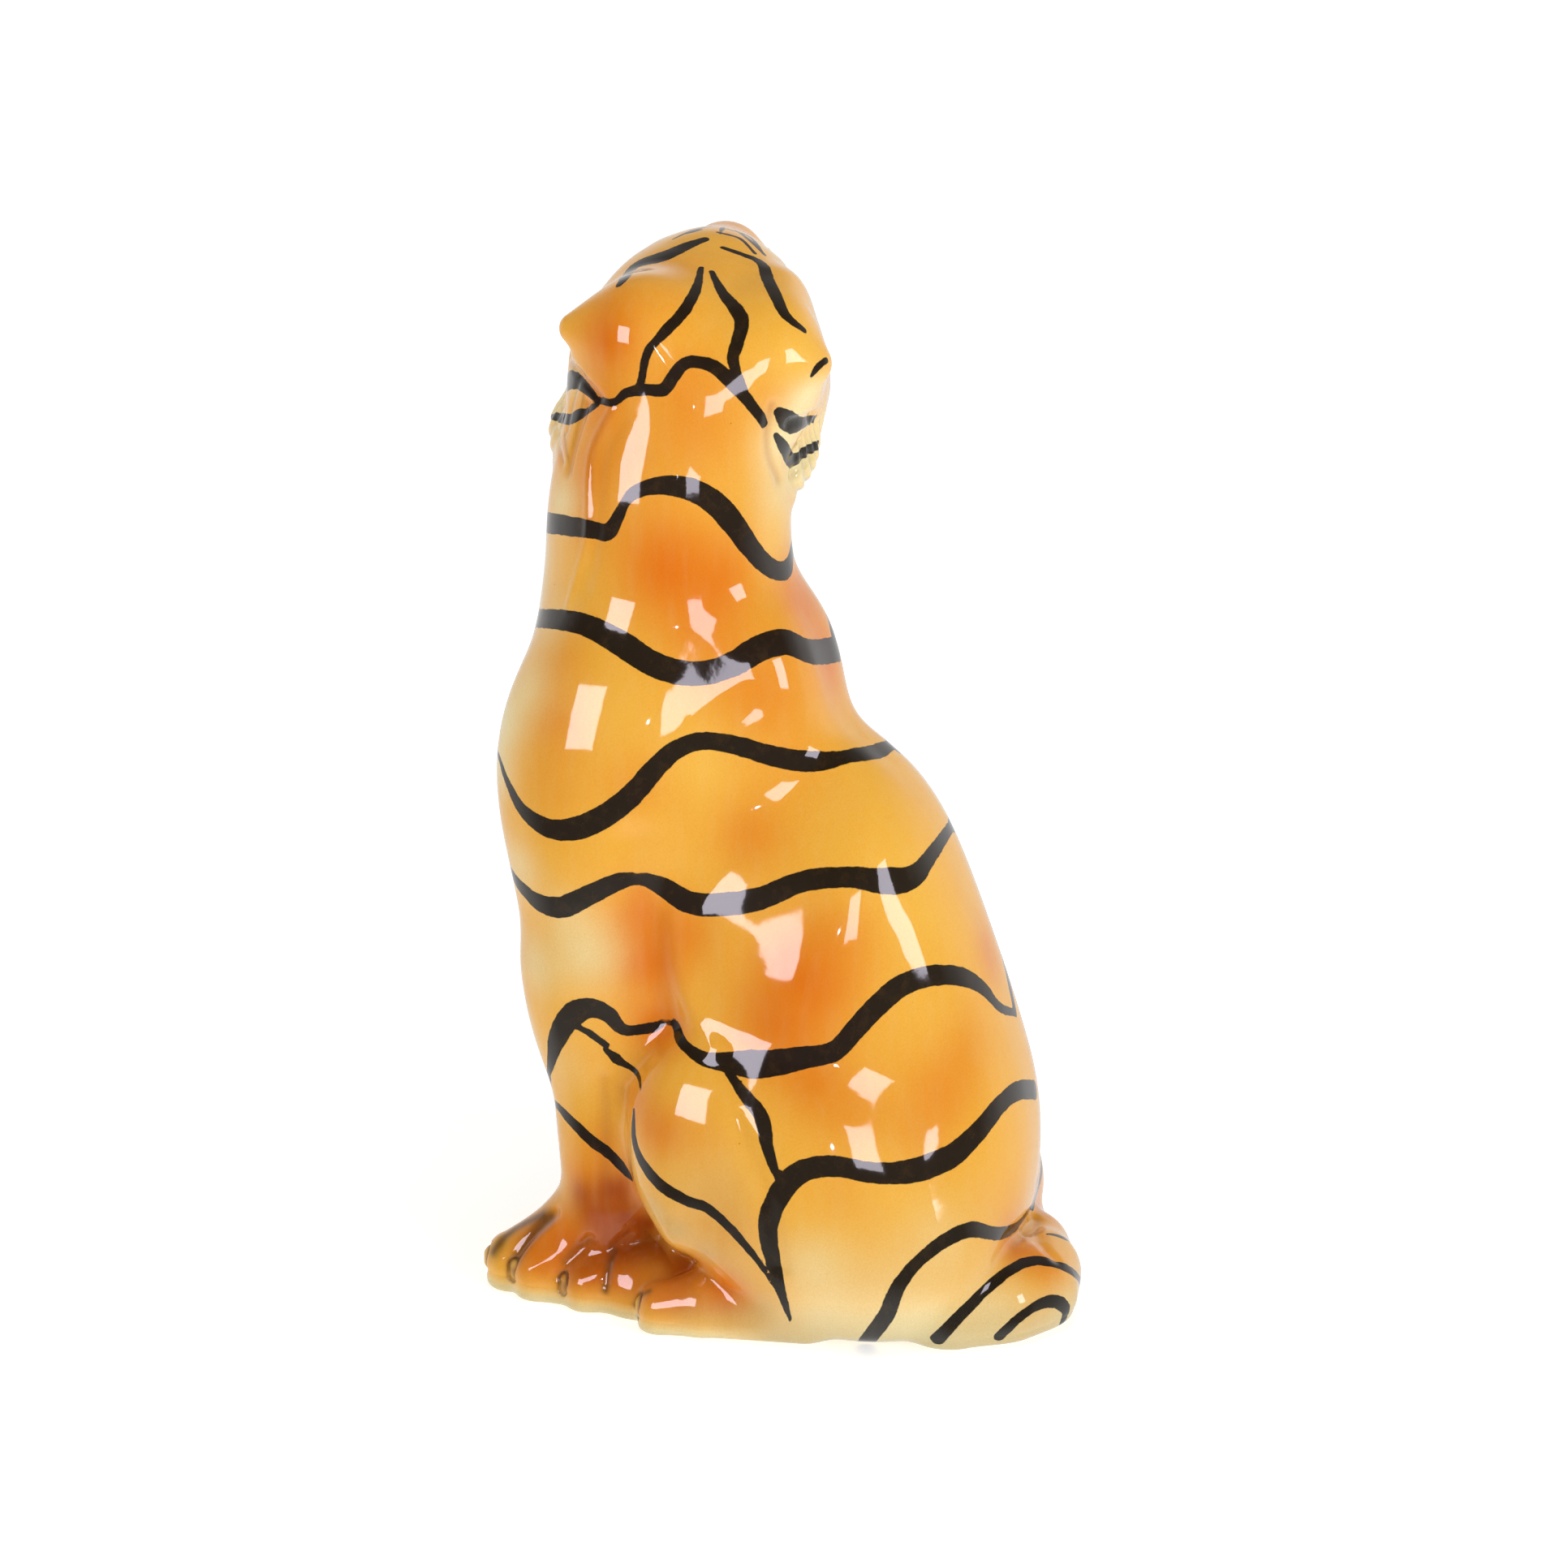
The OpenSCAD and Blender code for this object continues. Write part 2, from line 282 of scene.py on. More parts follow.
def sd_head(p, detail=True):
    def fn(x):
        q = to_head(x)
        d = fold(q, HEAD)
        if detail:
            d = smin(d, fold(q, FACE), 9.0)
            w = q.copy()
            w[:, 0] = np.abs(w[:, 0])
            m = within(w, (-1, 25, -45), (45, 110, 40))
            if m.any():
                y = w[m]
                e = d[m]
                e = smax(e, -egg(y, (19.5, 55, 6.5), (11, 9, 9)), 5.0)
                e = smin(e, egg(y, (18.5, 44.5, 6.3), (9, 9, 9)), 0.9)
                for a, b, c in (((10, 52, 8.0), (17.5, 53, 12.5), 2.2), ((17.5, 53, 12.5), (27, 45, 9.5), 2.2),
                                ((10, 52, 7.5), (17.5, 53, 1.0), 2.0), ((17.5, 53, 1.0), (27, 45, 4.5), 2.0)):
                    e = smin(e, rod(y, a, b, c, c * 0.9), 3.0)
                e = smin(e, egg(y, (0, 81.5, -8), (10, 6.5, 6.5)), 3.0)
                e = smax(e, -egg(y, (5, 87.5, -9.5), (2.7, 4.5, 2.0), (0, 20, 25)), 1.5)
                d[m] = e
        return d
    return some(p, (-140, -130, 290), (80, 60, 480), fn)


def sd_ears(p):
    def fn(x):
        q = to_head(x)
        d = fold(q, EARS)
        w = q.copy()
        w[:, 0] = np.abs(w[:, 0])
        return smax(d, -egg(w, (38, 9, 22), (12, 14, 13), (0, 0, -25)), 4.0)
    return some(p, (-140, -130, 330), (80, 60, 480), fn)


def parts(p):
    """Distance to each group, in the order of NAMES."""
    return [sd_torso(p), sd_leg(p, 1), sd_leg(p, -1), sd_foot(p, 1), sd_foot(p, -1), sd_tail(p), sd_head(p), sd_ears(p)]


def join(g, z):
    t, l1, l2, f1, f2, ta, he, ea = g
    k = np.clip((z - 80.0) / 100.0, 0.0, 1.0)
    d = smin(t, np.minimum(l1, l2), 10.0 + 24.0 * k * k * (3.0 - 2.0 * k))
    d = smin(d, np.minimum(f1, f2), 6.0)
    d = smin(d, ta, 5.0)
    h = smin(he, ea, 15.0)
    return smin(d, h, 14.0)


def sole(p):
    """How far the edge of the base is rounded: little under the toes, more behind."""
    return 4.0 + 4.0 * np.clip((p[:, 1] + 40.0) / 30.0, 0.0, 1.0)


def base_sdf(p):
    return smax(join(parts(p), p[:, 2]), -p[:, 2], sole(p))
# shape-end


# ------------------------------------------------------------ the photo's view
def view_axes():
    a, e = math.radians(AZ), math.radians(EL)
    back = np.array([math.sin(a) * math.cos(e), -math.cos(a) * math.cos(e), math.sin(e)])
    right = np.array([math.cos(a), math.sin(a), 0.0])
    return right, np.cross(back, right), back


V_RIGHT, V_UP, V_BACK = view_axes()
EYE = AIM + DIST * V_BACK


def cast(px):
    """Where the rays through these pixels of the 1932 x 1932 photo meet the figure."""
    px = np.asarray(px, float)
    x = (px[:, 0] - 966.0) / PPM
    y = (966.0 - px[:, 1]) / PPM
    v = AIM + x[:, None] * V_RIGHT + y[:, None] * V_UP - EYE
    v /= np.sqrt((v * v).sum(1))[:, None]
    t = np.full(len(px), 1650.0)
    best = np.full(len(px), 1e9)
    tb = t.copy()
    for _ in range(140):
        d = base_sdf(EYE + t[:, None] * v)
        m = d < best
        best[m] = d[m]
        tb[m] = t[m]
        t = t + np.where(d > 0.02, np.maximum(d * 0.8, 0.02), 0.0)
        t = np.minimum(t, 2400.0)
    return EYE + tb[:, None] * v


def spline(pts, step):
    """Smooth curve through the points (extra columns too), resampled in px."""
    P = np.asarray(pts, float)
    if len(P) < 2:
        return P
    Q = np.vstack([2 * P[0] - P[1], P, 2 * P[-1] - P[-2]])
    out = []
    for i in range(1, len(Q) - 2):
        a, b, c, d = Q[i - 1], Q[i], Q[i + 1], Q[i + 2]
        n = max(2, int(np.hypot(*(c - b)[:2]) / step))
        t = np.linspace(0, 1, n, endpoint=False)[:, None]
        out.append(0.5 * (2 * b + (c - a) * t + (2 * a - 5 * b + 4 * c - d) * t ** 2 + (3 * b - a - 3 * c + d) * t ** 3))
    return np.vstack(out + [P[-1:]])


def line_dist(p, L, w):
    """Distance to a 3-D polyline less its half width w, and the nearest place on it."""
    a, b = L[:-1], L[1:]
    v = b - a
    vv = (v * v).sum(1) + 1e-9
    best = np.full(len(p), 1e9)
    for i in range(len(a)):
        q = p - a[i]
        t = np.clip((q @ v[i]) / vv[i], 0, 1)
        d = np.sqrt(((q - t[:, None] * v[i]) ** 2).sum(1)) - (w[i] + (w[i + 1] - w[i]) * t)
        best = np.minimum(best, d)
    return best


# -------------------------------------------------------------- modelled lines
# (height in mm, half width in mm, pixels of the photo); a minus is a groove
RELIEF_PX = [
    (0.8, 1.9, [(753, 505), (729, 553), (723, 601), (724, 648), (719, 680), (710, 712), (700, 747)]),
    (-0.5, 3.0, [(768, 520), (744, 560), (738, 605), (737, 650), (731, 690), (722, 725)]),
    (-1.1, 7.0, [(925, 868), (884, 905), (862, 950), (848, 1010), (838, 1075)]),
    (-2.6, 8.0, [(782, 1040), (790, 1110), (800, 1180), (818, 1250)]),
    (1.3, 6.0, [(834, 1130), (838, 1190), (856, 1250), (880, 1290)]),
    (-0.6, 3.6, [(744, 1330), (748, 1400), (742, 1470)]),
    (-0.5, 3.4, [(768, 1345), (772, 1420), (768, 1500)]),
    (-1.6, 3.0, [(1276, 1500), (1280, 1528), (1300, 1549)]),
    (-1.2, 4.0, [(905, 1380), (925, 1430), (948, 1490), (962, 1560)]),
    (-2.0, 2.2, [(684, 1494), (666, 1511), (648, 1529), (637, 1545), (631, 1556)]),
    (-2.2, 2.4, [(726, 1528), (710, 1543), (695, 1558), (687, 1572)]),
    (-1.2, 2.0, [(776, 1520), (762, 1532), (752, 1546), (748, 1562), (746, 1580)]),
    (3.5, 8.0, [(800, 1556), (815, 1540), (832, 1524)]),
    (0.5, 1.6, [(772, 1556), (784, 1543), (803, 1537), (819, 1541), (818, 1552), (803, 1561), (786, 1565)]),
    (0.3, 1.4, [(790, 1553), (801, 1547), (811, 1547)]),
    (0.4, 2.0, [(800, 1520), (812, 1512), (828, 1508)]),
    (3.0, 17.0, [(1050, 950), (1058, 1050), (1030, 1150), (985, 1230)]),
    (-1.6, 2.4, [(722, 498), (712, 530), (704, 560), (700, 580)]),
    (-1.5, 2.2, [(692, 428), (704, 448), (720, 469), (738, 490)]),
    (-0.7, 2.0, [(700, 438), (694, 458), (688, 478), (683, 500)]),
    (-0.7, 2.0, [(714, 462), (709, 482), (703, 505), (698, 530)]),
    (-0.7, 2.0, [(684, 520), (688, 545), (693, 570)]),
    (-2.0, 2.6, [(1000, 514), (988, 517), (974, 522)]),
    (-1.4, 2.2, [(1000, 560), (988, 572), (976, 584)]),
    (-1.2, 2.6, [(952, 500), (946, 530), (948, 560), (960, 590)]),
]


def other_side(L):
    """The same line on the figure's right; lines on the foreleg follow the paw that is set back."""
    M = L * np.array([-1.0, 1.0, 1.0])
    leg = sd_leg(L, 1)
    on = leg < np.minimum(sd_torso(L), sd_foot(L, 1)) + 1.0
    M[:, 1] += np.where(on, STAGGER * np.clip((130.0 - L[:, 2]) / 100.0, 0.0, 1.0), 0.0)
    return M


RELIEF = []
for hgt, wid, pts in RELIEF_PX:
    L = cast(spline(pts, 10.0 if wid < 2.5 else 24.0))
    RELIEF.append((hgt, wid, L))
    if L[0, 2] < 340.0 or wid < 2.0:
        RELIEF.append((hgt, wid, other_side(L)))


def strand(q):
    """Phase of the strands of fur that are combed into the cheeks, on the head's axes."""
    s = 17.0 * np.arctan2(q[:, 1] + 11.0, np.abs(q[:, 0]) - 38.0) + 0.22 * q[:, 2] + 1.2 * np.sin(q[:, 2] / 7.0) + 0.5 * np.sin(q[:, 2] / 2.9)
    return s * 2 * np.pi / 6.4


def relief(p):
    out = np.zeros(len(p))
    for hgt, wid, L in RELIEF:
        m = within(p, L.min(0) - 3 * wid, L.max(0) + 3 * wid)
        if m.any():
            d = line_dist(p[m], L, np.zeros(len(L)))
            fade = np.exp(-(d / wid) ** 2)
            out[m] += hgt * fade
    # fur combed into the cheek ruffs
    m = within(p, (-130, -120, 315), (70, 50, 440))
    if m.any():
        q = to_head(p[m])
        a = np.abs(q[:, 0])
        w = np.exp(-(((a - 46) / 14) ** 2 + ((q[:, 1] + 10) / 22) ** 2 + ((q[:, 2] + 34) / 22) ** 2) ** 2)
        out[m] += 0.6 * w * np.sin(strand(q))
        # mouth and lip groove
        y = q.copy()
        y[:, 0] = a
        n = within(y, (-1, 40, -45), (40, 95, 0))
        if n.any():
            z = y[n]
            dm = line_dist(z, np.array([[0, 79, -25.0], [6, 79, -28.5], [15, 72, -29.5], [26, 55, -27.0]]), np.zeros(4))
            dl = line_dist(z, np.array([[0, 86, -13.0], [0, 83, -19.0], [0, 79, -25.0]]), np.zeros(3))
            o = np.zeros(len(z))
            o -= 2.2 * np.exp(-(dm / 1.5) ** 2) + 1.6 * np.exp(-(dl / 1.2) ** 2)
            t = out[m]
            t[n] += o
            out[m] = t
    return out


# claws: one small nail set into the front of each toe, pointing down
def claw_rows(toes):
    rows = []
    up = np.array([0.0, 0.0, 1.0])
    for t in toes:
        a, b = np.array(t[1], float), np.array(t[2], float)
        v = b - a
        v[2] = 0.0
        v /= np.linalg.norm(v)
        rows.append((b + (v * 0.97 + up * 0.20) * (t[4] - 2.2), b + (v * 1.0 - up * 0.16) * (t[4] - 1.9)))
    return rows


FORE_CLAWS = claw_rows(LEG_TOES)
HIND_CLAWS = claw_rows(FOOT[1:3])


def add_claws(p, d):
    for s in (1, -1):
        q = p * np.array([s, 1.0, 1.0])
        m = within(q, (5, -135, -5), (105, -20, 30))
        if not m.any():
            continue
        y = q[m]
        z = y.copy()
        if s < 0:
            z[:, 1] -= STAGGER
        e = d[m]
        for rows, x in ((FORE_CLAWS, z), (HIND_CLAWS, y)):
            for a, b in rows:
                c = rod(x, a, b, 3.3, 2.8)
                e = e + 0.8 * np.exp(-((c - 0.9) / 0.8) ** 2)
                e = smin(e, c + 0.3, 0.9)
        d[m] = e
    return d


def sdf(p):
    d = join(parts(p), p[:, 2]) - relief(p)
    d = add_claws(p, d)
    d = smax(d, -p[:, 2], sole(p))
    m = within(p, (-80, -40, -20), (80, 120, 100))
    if m.any():
        x = p[m]
        r = np.hypot(x[:, 0] - DRAIN[0], x[:, 1] - DRAIN[1]) - DRAIN[2]
        hole = np.maximum(r, x[:, 2] - 20.0)
        hole = np.minimum(hole, egg(x, (0, 42, 42), (44, 40, 35)))
        d[m] = smax(d[m], -hole, 1.6)
    return d


POOL = ThreadPoolExecutor(4)


def many(p, f=sdf, size=30000):
    """f at a long list of points, a block at a time."""
    if len(p) <= size:
        return f(p)
    return np.concatenate(list(POOL.map(f, [p[i:i + size] for i in range(0, len(p), size)])))


def gradient(p, f, e=0.3):
    g = np.empty_like(p)
    for i in range(3):
        o = np.zeros(3)
        o[i] = e
        g[:, i] = (many(p + o, f) - many(p - o, f)) / (2 * e)
    return g


# -------------------------------------------------------------------- meshing
def surface(lo, hi, h):
    """Triangles of the figure's skin inside a box, at a grid of h mm."""
    lo, hi = np.asarray(lo, float), np.asarray(hi, float)
    B = 4
    n = (np.ceil((hi - lo) / (h * B)).astype(int)) * B
    ax = [lo[i] + h * np.arange(n[i] + B) for i in range(3)]
    cx = [a[::B] for a in ax]
    G = np.stack(np.meshgrid(*cx, indexing="ij"), -1)
    C = many(G.reshape(-1, 3)).reshape(G.shape[:3])
    near = np.abs(C) < h * B * 1.9 + 1.5
    F = np.repeat(np.repeat(np.repeat(C, B, 0), B, 1), B, 2)
    M = np.repeat(np.repeat(np.repeat(near, B, 0), B, 1), B, 2)
    F[M] = many(lo + h * np.argwhere(M))
    ins = F < 0
    cnt = np.zeros(tuple(s - 1 for s in F.shape), np.int8)
    for dx in (0, 1):
        for dy in (0, 1):
            for dz in (0, 1):
                cnt += ins[dx:ins.shape[0] - 1 + dx, dy:ins.shape[1] - 1 + dy, dz:ins.shape[2] - 1 + dz]
    act = (cnt > 0) & (cnt < 8)
    cell = np.argwhere(act)
    num = np.full(act.shape, -1, np.int64)
    num[act] = np.arange(len(cell))
    acc = np.zeros((len(cell), 3))
    k = np.zeros(len(cell))
    for axis in range(3):
        o1, o2 = [i for i in range(3) if i != axis]
        for u in (0, 1):
            for w in (0, 1):
                a = cell.copy()
                a[:, o1] += u
                a[:, o2] += w
                b = a.copy()
                b[:, axis] += 1
                fa, fb = F[tuple(a.T)], F[tuple(b.T)]
                m = (fa < 0) != (fb < 0)
                t = fa[m] / (fa[m] - fb[m])
                pt = a[m].astype(float)
                pt[:, axis] += t
                acc[m] += pt
                k[m] += 1
    V = lo + h * acc / k[:, None]
    T = []
    for axis in range(3):
        o1, o2 = (axis + 1) % 3, (axis + 2) % 3
        s0 = [slice(None)] * 3
        s1 = [slice(None)] * 3
        s0[axis], s1[axis] = slice(None, -1), slice(1, None)
        ch = ins[tuple(s0)] != ins[tuple(s1)]
        e = np.argwhere(ch)
        ok = (e[:, o1] > 0) & (e[:, o2] > 0) & (e[:, o1] < act.shape[o1]) & (e[:, o2] < act.shape[o2])
        e = e[ok]
        flip = ins[tuple(e.T)]
        c = []
        for u, w in ((-1, -1), (0, -1), (0, 0), (-1, 0)):
            q = e.copy()
            q[:, o1] += u
            q[:, o2] += w
            c.append(num[tuple(q.T)])
        c = np.stack(c, 1)
        good = (c >= 0).all(1)
        c, flip = c[good], flip[good]
        c[~flip] = c[~flip][:, ::-1]
        T.append(c)
    Q = np.vstack(T)
    used = np.unique(Q)
    re = np.full(len(V), -1)
    re[used] = np.arange(len(used))
    V, Q = V[used], re[Q]
    V = settle(V, h)
    # split each quad along its shorter diagonal
    d1 = ((V[Q[:, 0]] - V[Q[:, 2]]) ** 2).sum(1)
    d2 = ((V[Q[:, 1]] - V[Q[:, 3]]) ** 2).sum(1)
    m = (d1 <= d2)[:, None]
    T1 = np.where(m, Q[:, [0, 1, 2]], Q[:, [0, 1, 3]])
    T2 = np.where(m, Q[:, [0, 2, 3]], Q[:, [1, 2, 3]])
    return V, np.vstack([T1, T2])


def settle(V, h, rounds=2):
    for _ in range(rounds):
        d = many(V)
        g = np.empty_like(V)
        for i in range(3):
            o = np.zeros(3)
            o[i] = 0.2
            g[:, i] = (many(V + o) - d) / 0.2
        s = d / np.maximum((g * g).sum(1), 0.2)
        V = V - np.clip(s, -h, h)[:, None] * g
    return V


def clip(V, T, g):
    """Keep the part of the mesh where g < 0, cut cleanly along g = 0."""
    g = np.where(np.abs(g) < 1e-5, -1e-5, g)
    ins = g < 0
    n = ins[T].sum(1)
    keep = [T[n == 3]]
    new, table = [], {}

    def cut(a, b):
        key = (a, b) if a < b else (b, a)
        if key not in table:
            t = g[a] / (g[a] - g[b])
            table[key] = len(V) + len(new)
            new.append(V[a] + t * (V[b] - V[a]))
        return table[key]

    extra = []
    for tri in T[(n == 1) | (n == 2)]:
        s = ins[tri]
        if s.sum() == 1:
            i = int(np.argmax(s))
            a, b, c = tri[i], tri[(i + 1) % 3], tri[(i + 2) % 3]
            extra.append((a, cut(a, b), cut(a, c)))
        else:
            i = int(np.argmin(s))
            a, b, c = tri[i], tri[(i + 1) % 3], tri[(i + 2) % 3]
            ab, ac = cut(a, b), cut(a, c)
            extra += [(ab, b, c), (ab, c, ac)]
    if extra:
        keep.append(np.array(extra))
    T = np.vstack(keep)
    V = np.vstack([V, np.array(new)]) if new else V
    used = np.unique(T)
    re = np.full(len(V), -1)
    re[used] = np.arange(len(used))
    return V[used], re[T]


def close(V, T, N, wall=3.0):
    """Turns each open rim inward by the wall, so that a piece taken off the figure reads as a casting."""
    E = np.vstack([T[:, [0, 1]], T[:, [1, 2]], T[:, [2, 0]]])
    key = np.minimum(E[:, 0], E[:, 1]) * (len(V) + 1) + np.maximum(E[:, 0], E[:, 1])
    u, inv, cnt = np.unique(key, return_inverse=True, return_counts=True)
    B = E[cnt[inv] == 1]
    if not len(B):
        return V, T
    rim = np.unique(B)
    new = np.full(len(V), -1)
    new[rim] = len(V) + np.arange(len(rim))
    a, b = B[:, 0], B[:, 1]
    T = np.vstack([T, np.stack([b, a, new[a]], 1), np.stack([b, new[a], new[b]], 1)])
    return np.vstack([V, V[rim] - wall * N[rim]]), T


ORDER = ["torso", "left_foreleg", "right_foreleg", "left_hind_foot", "right_hind_foot", "tail", "head", "ears"]


def share(p, i):
    """Below zero where the skin at p belongs to group i."""
    g = parts(p)
    z = p[:, 2]
    g[0] = np.where(z < SEAM_Z, np.minimum(g[0], g[6]), 400.0)
    g[6] = np.where(z >= SEAM_Z, np.minimum(sd_torso(p), g[6]), 400.0)
    if i == 0:
        g[6] = np.full(len(p), 400.0)
    if i == 6:
        g[0] = np.full(len(p), 400.0)
    if i in (0, 6):
        own = np.minimum(sd_torso(p), sd_head(p))
    else:
        own = g[i]
        g[0] = np.minimum(sd_torso(p), sd_head(p))
    others = np.min([g[j] for j in range(8) if j != i], 0)
    return own - others


def build(i, lo, hi, h, planes=()):
    V, T = surface(lo, hi, h)
    for n, c in planes:
        V, T = clip(V, T, V @ np.asarray(n, float) - c)
    V, T = clip(V, T, share(V, i))
    V = settle_rim(V, T, planes)
    N = gradient(V, sdf)
    N /= np.linalg.norm(N, axis=1)[:, None] + 1e-12
    nv = len(V)
    V, T = close(V, T, N)
    if len(V) > nv:
        N = np.vstack([N, np.tile([0, 0, 1.0], (len(V) - nv, 1))])
    return V, T, N, nv


def settle_rim(V, T, planes):
    """One more step onto the skin for the points made by cutting, kept in their plane."""
    d = many(V)
    m = np.abs(d) > 0.003
    if m.any():
        p = V[m]
        for _ in range(2):
            g = gradient(p, sdf)
            for n, c in planes:
                n = np.asarray(n, float)
                on = np.abs(p @ n - c) < 1e-3
                g[on] -= (g[on] @ n)[:, None] * n
            s = sdf(p) / np.maximum((g * g).sum(1), 0.2)
            p = p - np.clip(s, -0.3, 0.3)[:, None] * g
        V = V.copy()
        V[m] = p
    return V


S = 1.0
PIECES = [
    ("torso_glazed", 0, (-100, -112, -6), (100, 118, 326), 1.55 * S, [((0, 0, 1), SEAM_Z)], ["torso_casting"], "body_glaze"),
    ("head_glazed", 6, (-112, -112, 316), (52, 30, 440), 0.95 * S, [((0, 0, -1), -SEAM_Z)], ["head_casting"], "body_glaze"),
    ("left_foreleg_glazed", 1, (-4, -122, -6), (72, -8, 252), 0.75 * S, [], ["left_foreleg"], "body_glaze"),
    ("right_foreleg_glazed", 2, (-72, -122, -6), (4, -8, 252), 0.85 * S, [], ["right_foreleg"], "body_glaze"),
    ("left_hind_foot_glazed", 3, (30, -66, -6), (100, 50, 32), 0.8 * S, [], ["left_hind_foot"], "paw_glaze"),
    ("right_hind_foot_glazed", 4, (-100, -66, -6), (-30, 50, 32), 0.8 * S, [], ["right_hind_foot"], "paw_glaze"),
    ("tail_glazed", 5, (-106, -4, -6), (76, 132, 46), 1.1 * S, [], ["tail"], "body_glaze"),
]


# --------------------------------------------------------------------- paint
def srgb(c):
    c = np.asarray(c, float) / 255.0
    return np.where(c <= 0.04045, c / 12.92, ((c + 0.055) / 1.055) ** 2.4)


GOLD, DEEP, CREAM = srgb((242, 181, 68)), srgb((227, 119, 16)), srgb((242, 230, 178))
RUST, YELLOW, BROWN = srgb((164, 60, 6)), srgb((247, 197, 86)), srgb((80, 50, 26))
PINK, WHITE, BISQUE = srgb((228, 150, 120)), srgb((246, 236, 206)), srgb((226, 214, 190))
# the last two colours are painted shade: a greyer cream for the foot and the knee's lower edge, a darker tan for the
# knee
SHADE, TAN_SHADE = srgb((184, 176, 138)), srgb((198, 138, 62))

# brush strokes of the side that the photo shows: full widths, spread evenly
# along the stroke, and the centre line, both in the photo's pixels
STROKES = [
    ((8, 22, 30, 21, 10), [(763, 351), (784, 327), (816, 316), (848, 302), (868, 295)]),
    ((5, 11, 13, 12, 9, 8, 8), [(864, 330), (858, 356), (842, 384), (820, 408), (800, 430), (794, 448), (789, 474)]),
    ((6, 12, 16, 16, 14, 11, 9), [(877, 335), (890, 360), (906, 380), (914, 396), (909, 420), (903, 440), (907, 458), (916, 480)]),
    ((5, 9, 14, 16, 13, 6), [(890, 305), (916, 314), (938, 324), (946, 344), (956, 364), (968, 388), (991, 407)]),
    ((3, 5, 4), [(884, 286), (912, 294), (930, 312)]),
    ((2, 5, 4), [(896, 282), (924, 292), (942, 314)]),
    ((3, 5, 3), [(840, 289), (864, 283)]),
    ((7, 9, 12, 14, 14, 13, 16, 15, 12, 11), [(734, 492), (756, 496), (772, 484), (796, 480), (818, 480), (832, 460), (844, 448), (860, 446), (880, 452), (900, 470), (920, 492), (936, 512), (943, 523)]),
    ((13, 22, 13, 6), [(689, 486), (703, 468), (716, 474), (736, 494)]),
    ((6, 11, 13, 9, 5), [(676, 514), (686, 513), (700, 517), (716, 509), (736, 498)]),
    ((4, 8, 6), [(1000, 463), (1009, 451), (1018, 444)]),
    ((12, 24, 23, 14, 10), [(960, 508), (974, 521), (986, 524), (1004, 516)]),
    ((6, 14, 18, 15, 10), [(956, 536), (966, 552), (976, 568), (992, 558), (1008, 548)]),
    ((24, 22, 19, 10, 17, 24, 27, 29, 26, 24, 21, 14), [(676, 644), (700, 648), (726, 652), (748, 656), (760, 640), (772, 616), (788, 604), (816, 598), (848, 602), (876, 616), (900, 640), (920, 668), (940, 692), (960, 704), (972, 698), (976, 676), (977, 656)]),
    ((22, 25, 29, 29, 27, 30, 31, 30), [(664, 762), (694, 764), (726, 772), (764, 792), (799, 815), (834, 828), (869, 829), (904, 818), (936, 799), (968, 791), (1000, 803), (1032, 800)]),
    ((5, 12, 22, 28, 27, 25, 22, 21, 23, 25, 26, 18), [(613, 926), (624, 961), (643, 997), (672, 1019), (703, 1022), (739, 1009), (777, 981), (809, 945), (837, 922), (866, 914), (904, 918), (959, 933), (1013, 939), (1060, 934), (1100, 920)]),
    ((18, 27, 24, 22, 25, 27, 26, 24, 29, 33, 20, 12), [(641, 1092), (662, 1111), (691, 1118), (726, 1103), (758, 1089), (790, 1087), (818, 1095), (853, 1113), (895, 1114), (936, 1107), (981, 1089), (1013, 1083), (1050, 1082), (1090, 1086), (1125, 1080), (1150, 1050), (1172, 1018)]),
    ((8, 24, 30, 20, 11, 15, 11, 20, 34, 29, 24, 23, 25, 26, 24, 22, 17, 8), [(676, 1322), (684, 1285), (700, 1256), (723, 1242), (748, 1249), (767, 1268), (796, 1268), (825, 1260), (841, 1285), (866, 1304), (898, 1309), (943, 1311), (990, 1303), (1028, 1295), (1053, 1269), (1079, 1241), (1110, 1215), (1149, 1202), (1187, 1204), (1212, 1218), (1232, 1241), (1251, 1248)]),
    ((6, 8, 7), [(706, 1262), (728, 1274), (747, 1288)]),
    ((5, 12, 6, 5, 3), [(746, 1293), (764, 1308), (781, 1318), (788, 1330), (789, 1342)]),
    ((6, 13, 14, 13, 11, 4), [(676, 1350), (697, 1374), (726, 1403), (758, 1429), (777, 1453), (791, 1456)]),
    ((4, 12, 15, 15, 13, 11, 10, 7, 3), [(781, 1368), (781, 1403), (791, 1432), (815, 1461), (847, 1480), (872, 1489), (904, 1518), (934, 1554), (955, 1586)]),
    ((7, 14, 17, 13, 6), [(897, 1322), (920, 1352), (939, 1378), (946, 1416), (960, 1456)]),
    ((3, 13, 20, 25, 27, 25, 23, 25, 29, 28, 25, 22, 23), [(974, 1628), (960, 1583), (947, 1531), (948, 1499), (965, 1465), (989, 1443), (1028, 1437), (1075, 1445), (1123, 1443), (1171, 1425), (1203, 1397), (1232, 1362), (1254, 1344), (1281, 1343)]),
    ((20, 20, 17, 14, 16, 18, 13, 6), [(1064, 1658), (1091, 1622), (1107, 1585), (1130, 1556), (1165, 1528), (1197, 1515), (1228, 1520), (1251, 1512), (1272, 1486)]),
    ((16, 14, 12, 12, 14, 13, 10), [(1155, 1650), (1187, 1617), (1219, 1585), (1251, 1561), (1276, 1553), (1305, 1558), (1327, 1572), (1332, 1588)]),
    ((14, 12, 10, 13, 16, 12), [(1232, 1646), (1257, 1623), (1283, 1606), (1302, 1604), (1314, 1614), (1310, 1628)]),
    ((3, 7, 7), [(1289, 1520), (1305, 1523), (1320, 1530)]),
]
HEAD_STROKES = 13          # the first ones lie on the head and are not mirrored
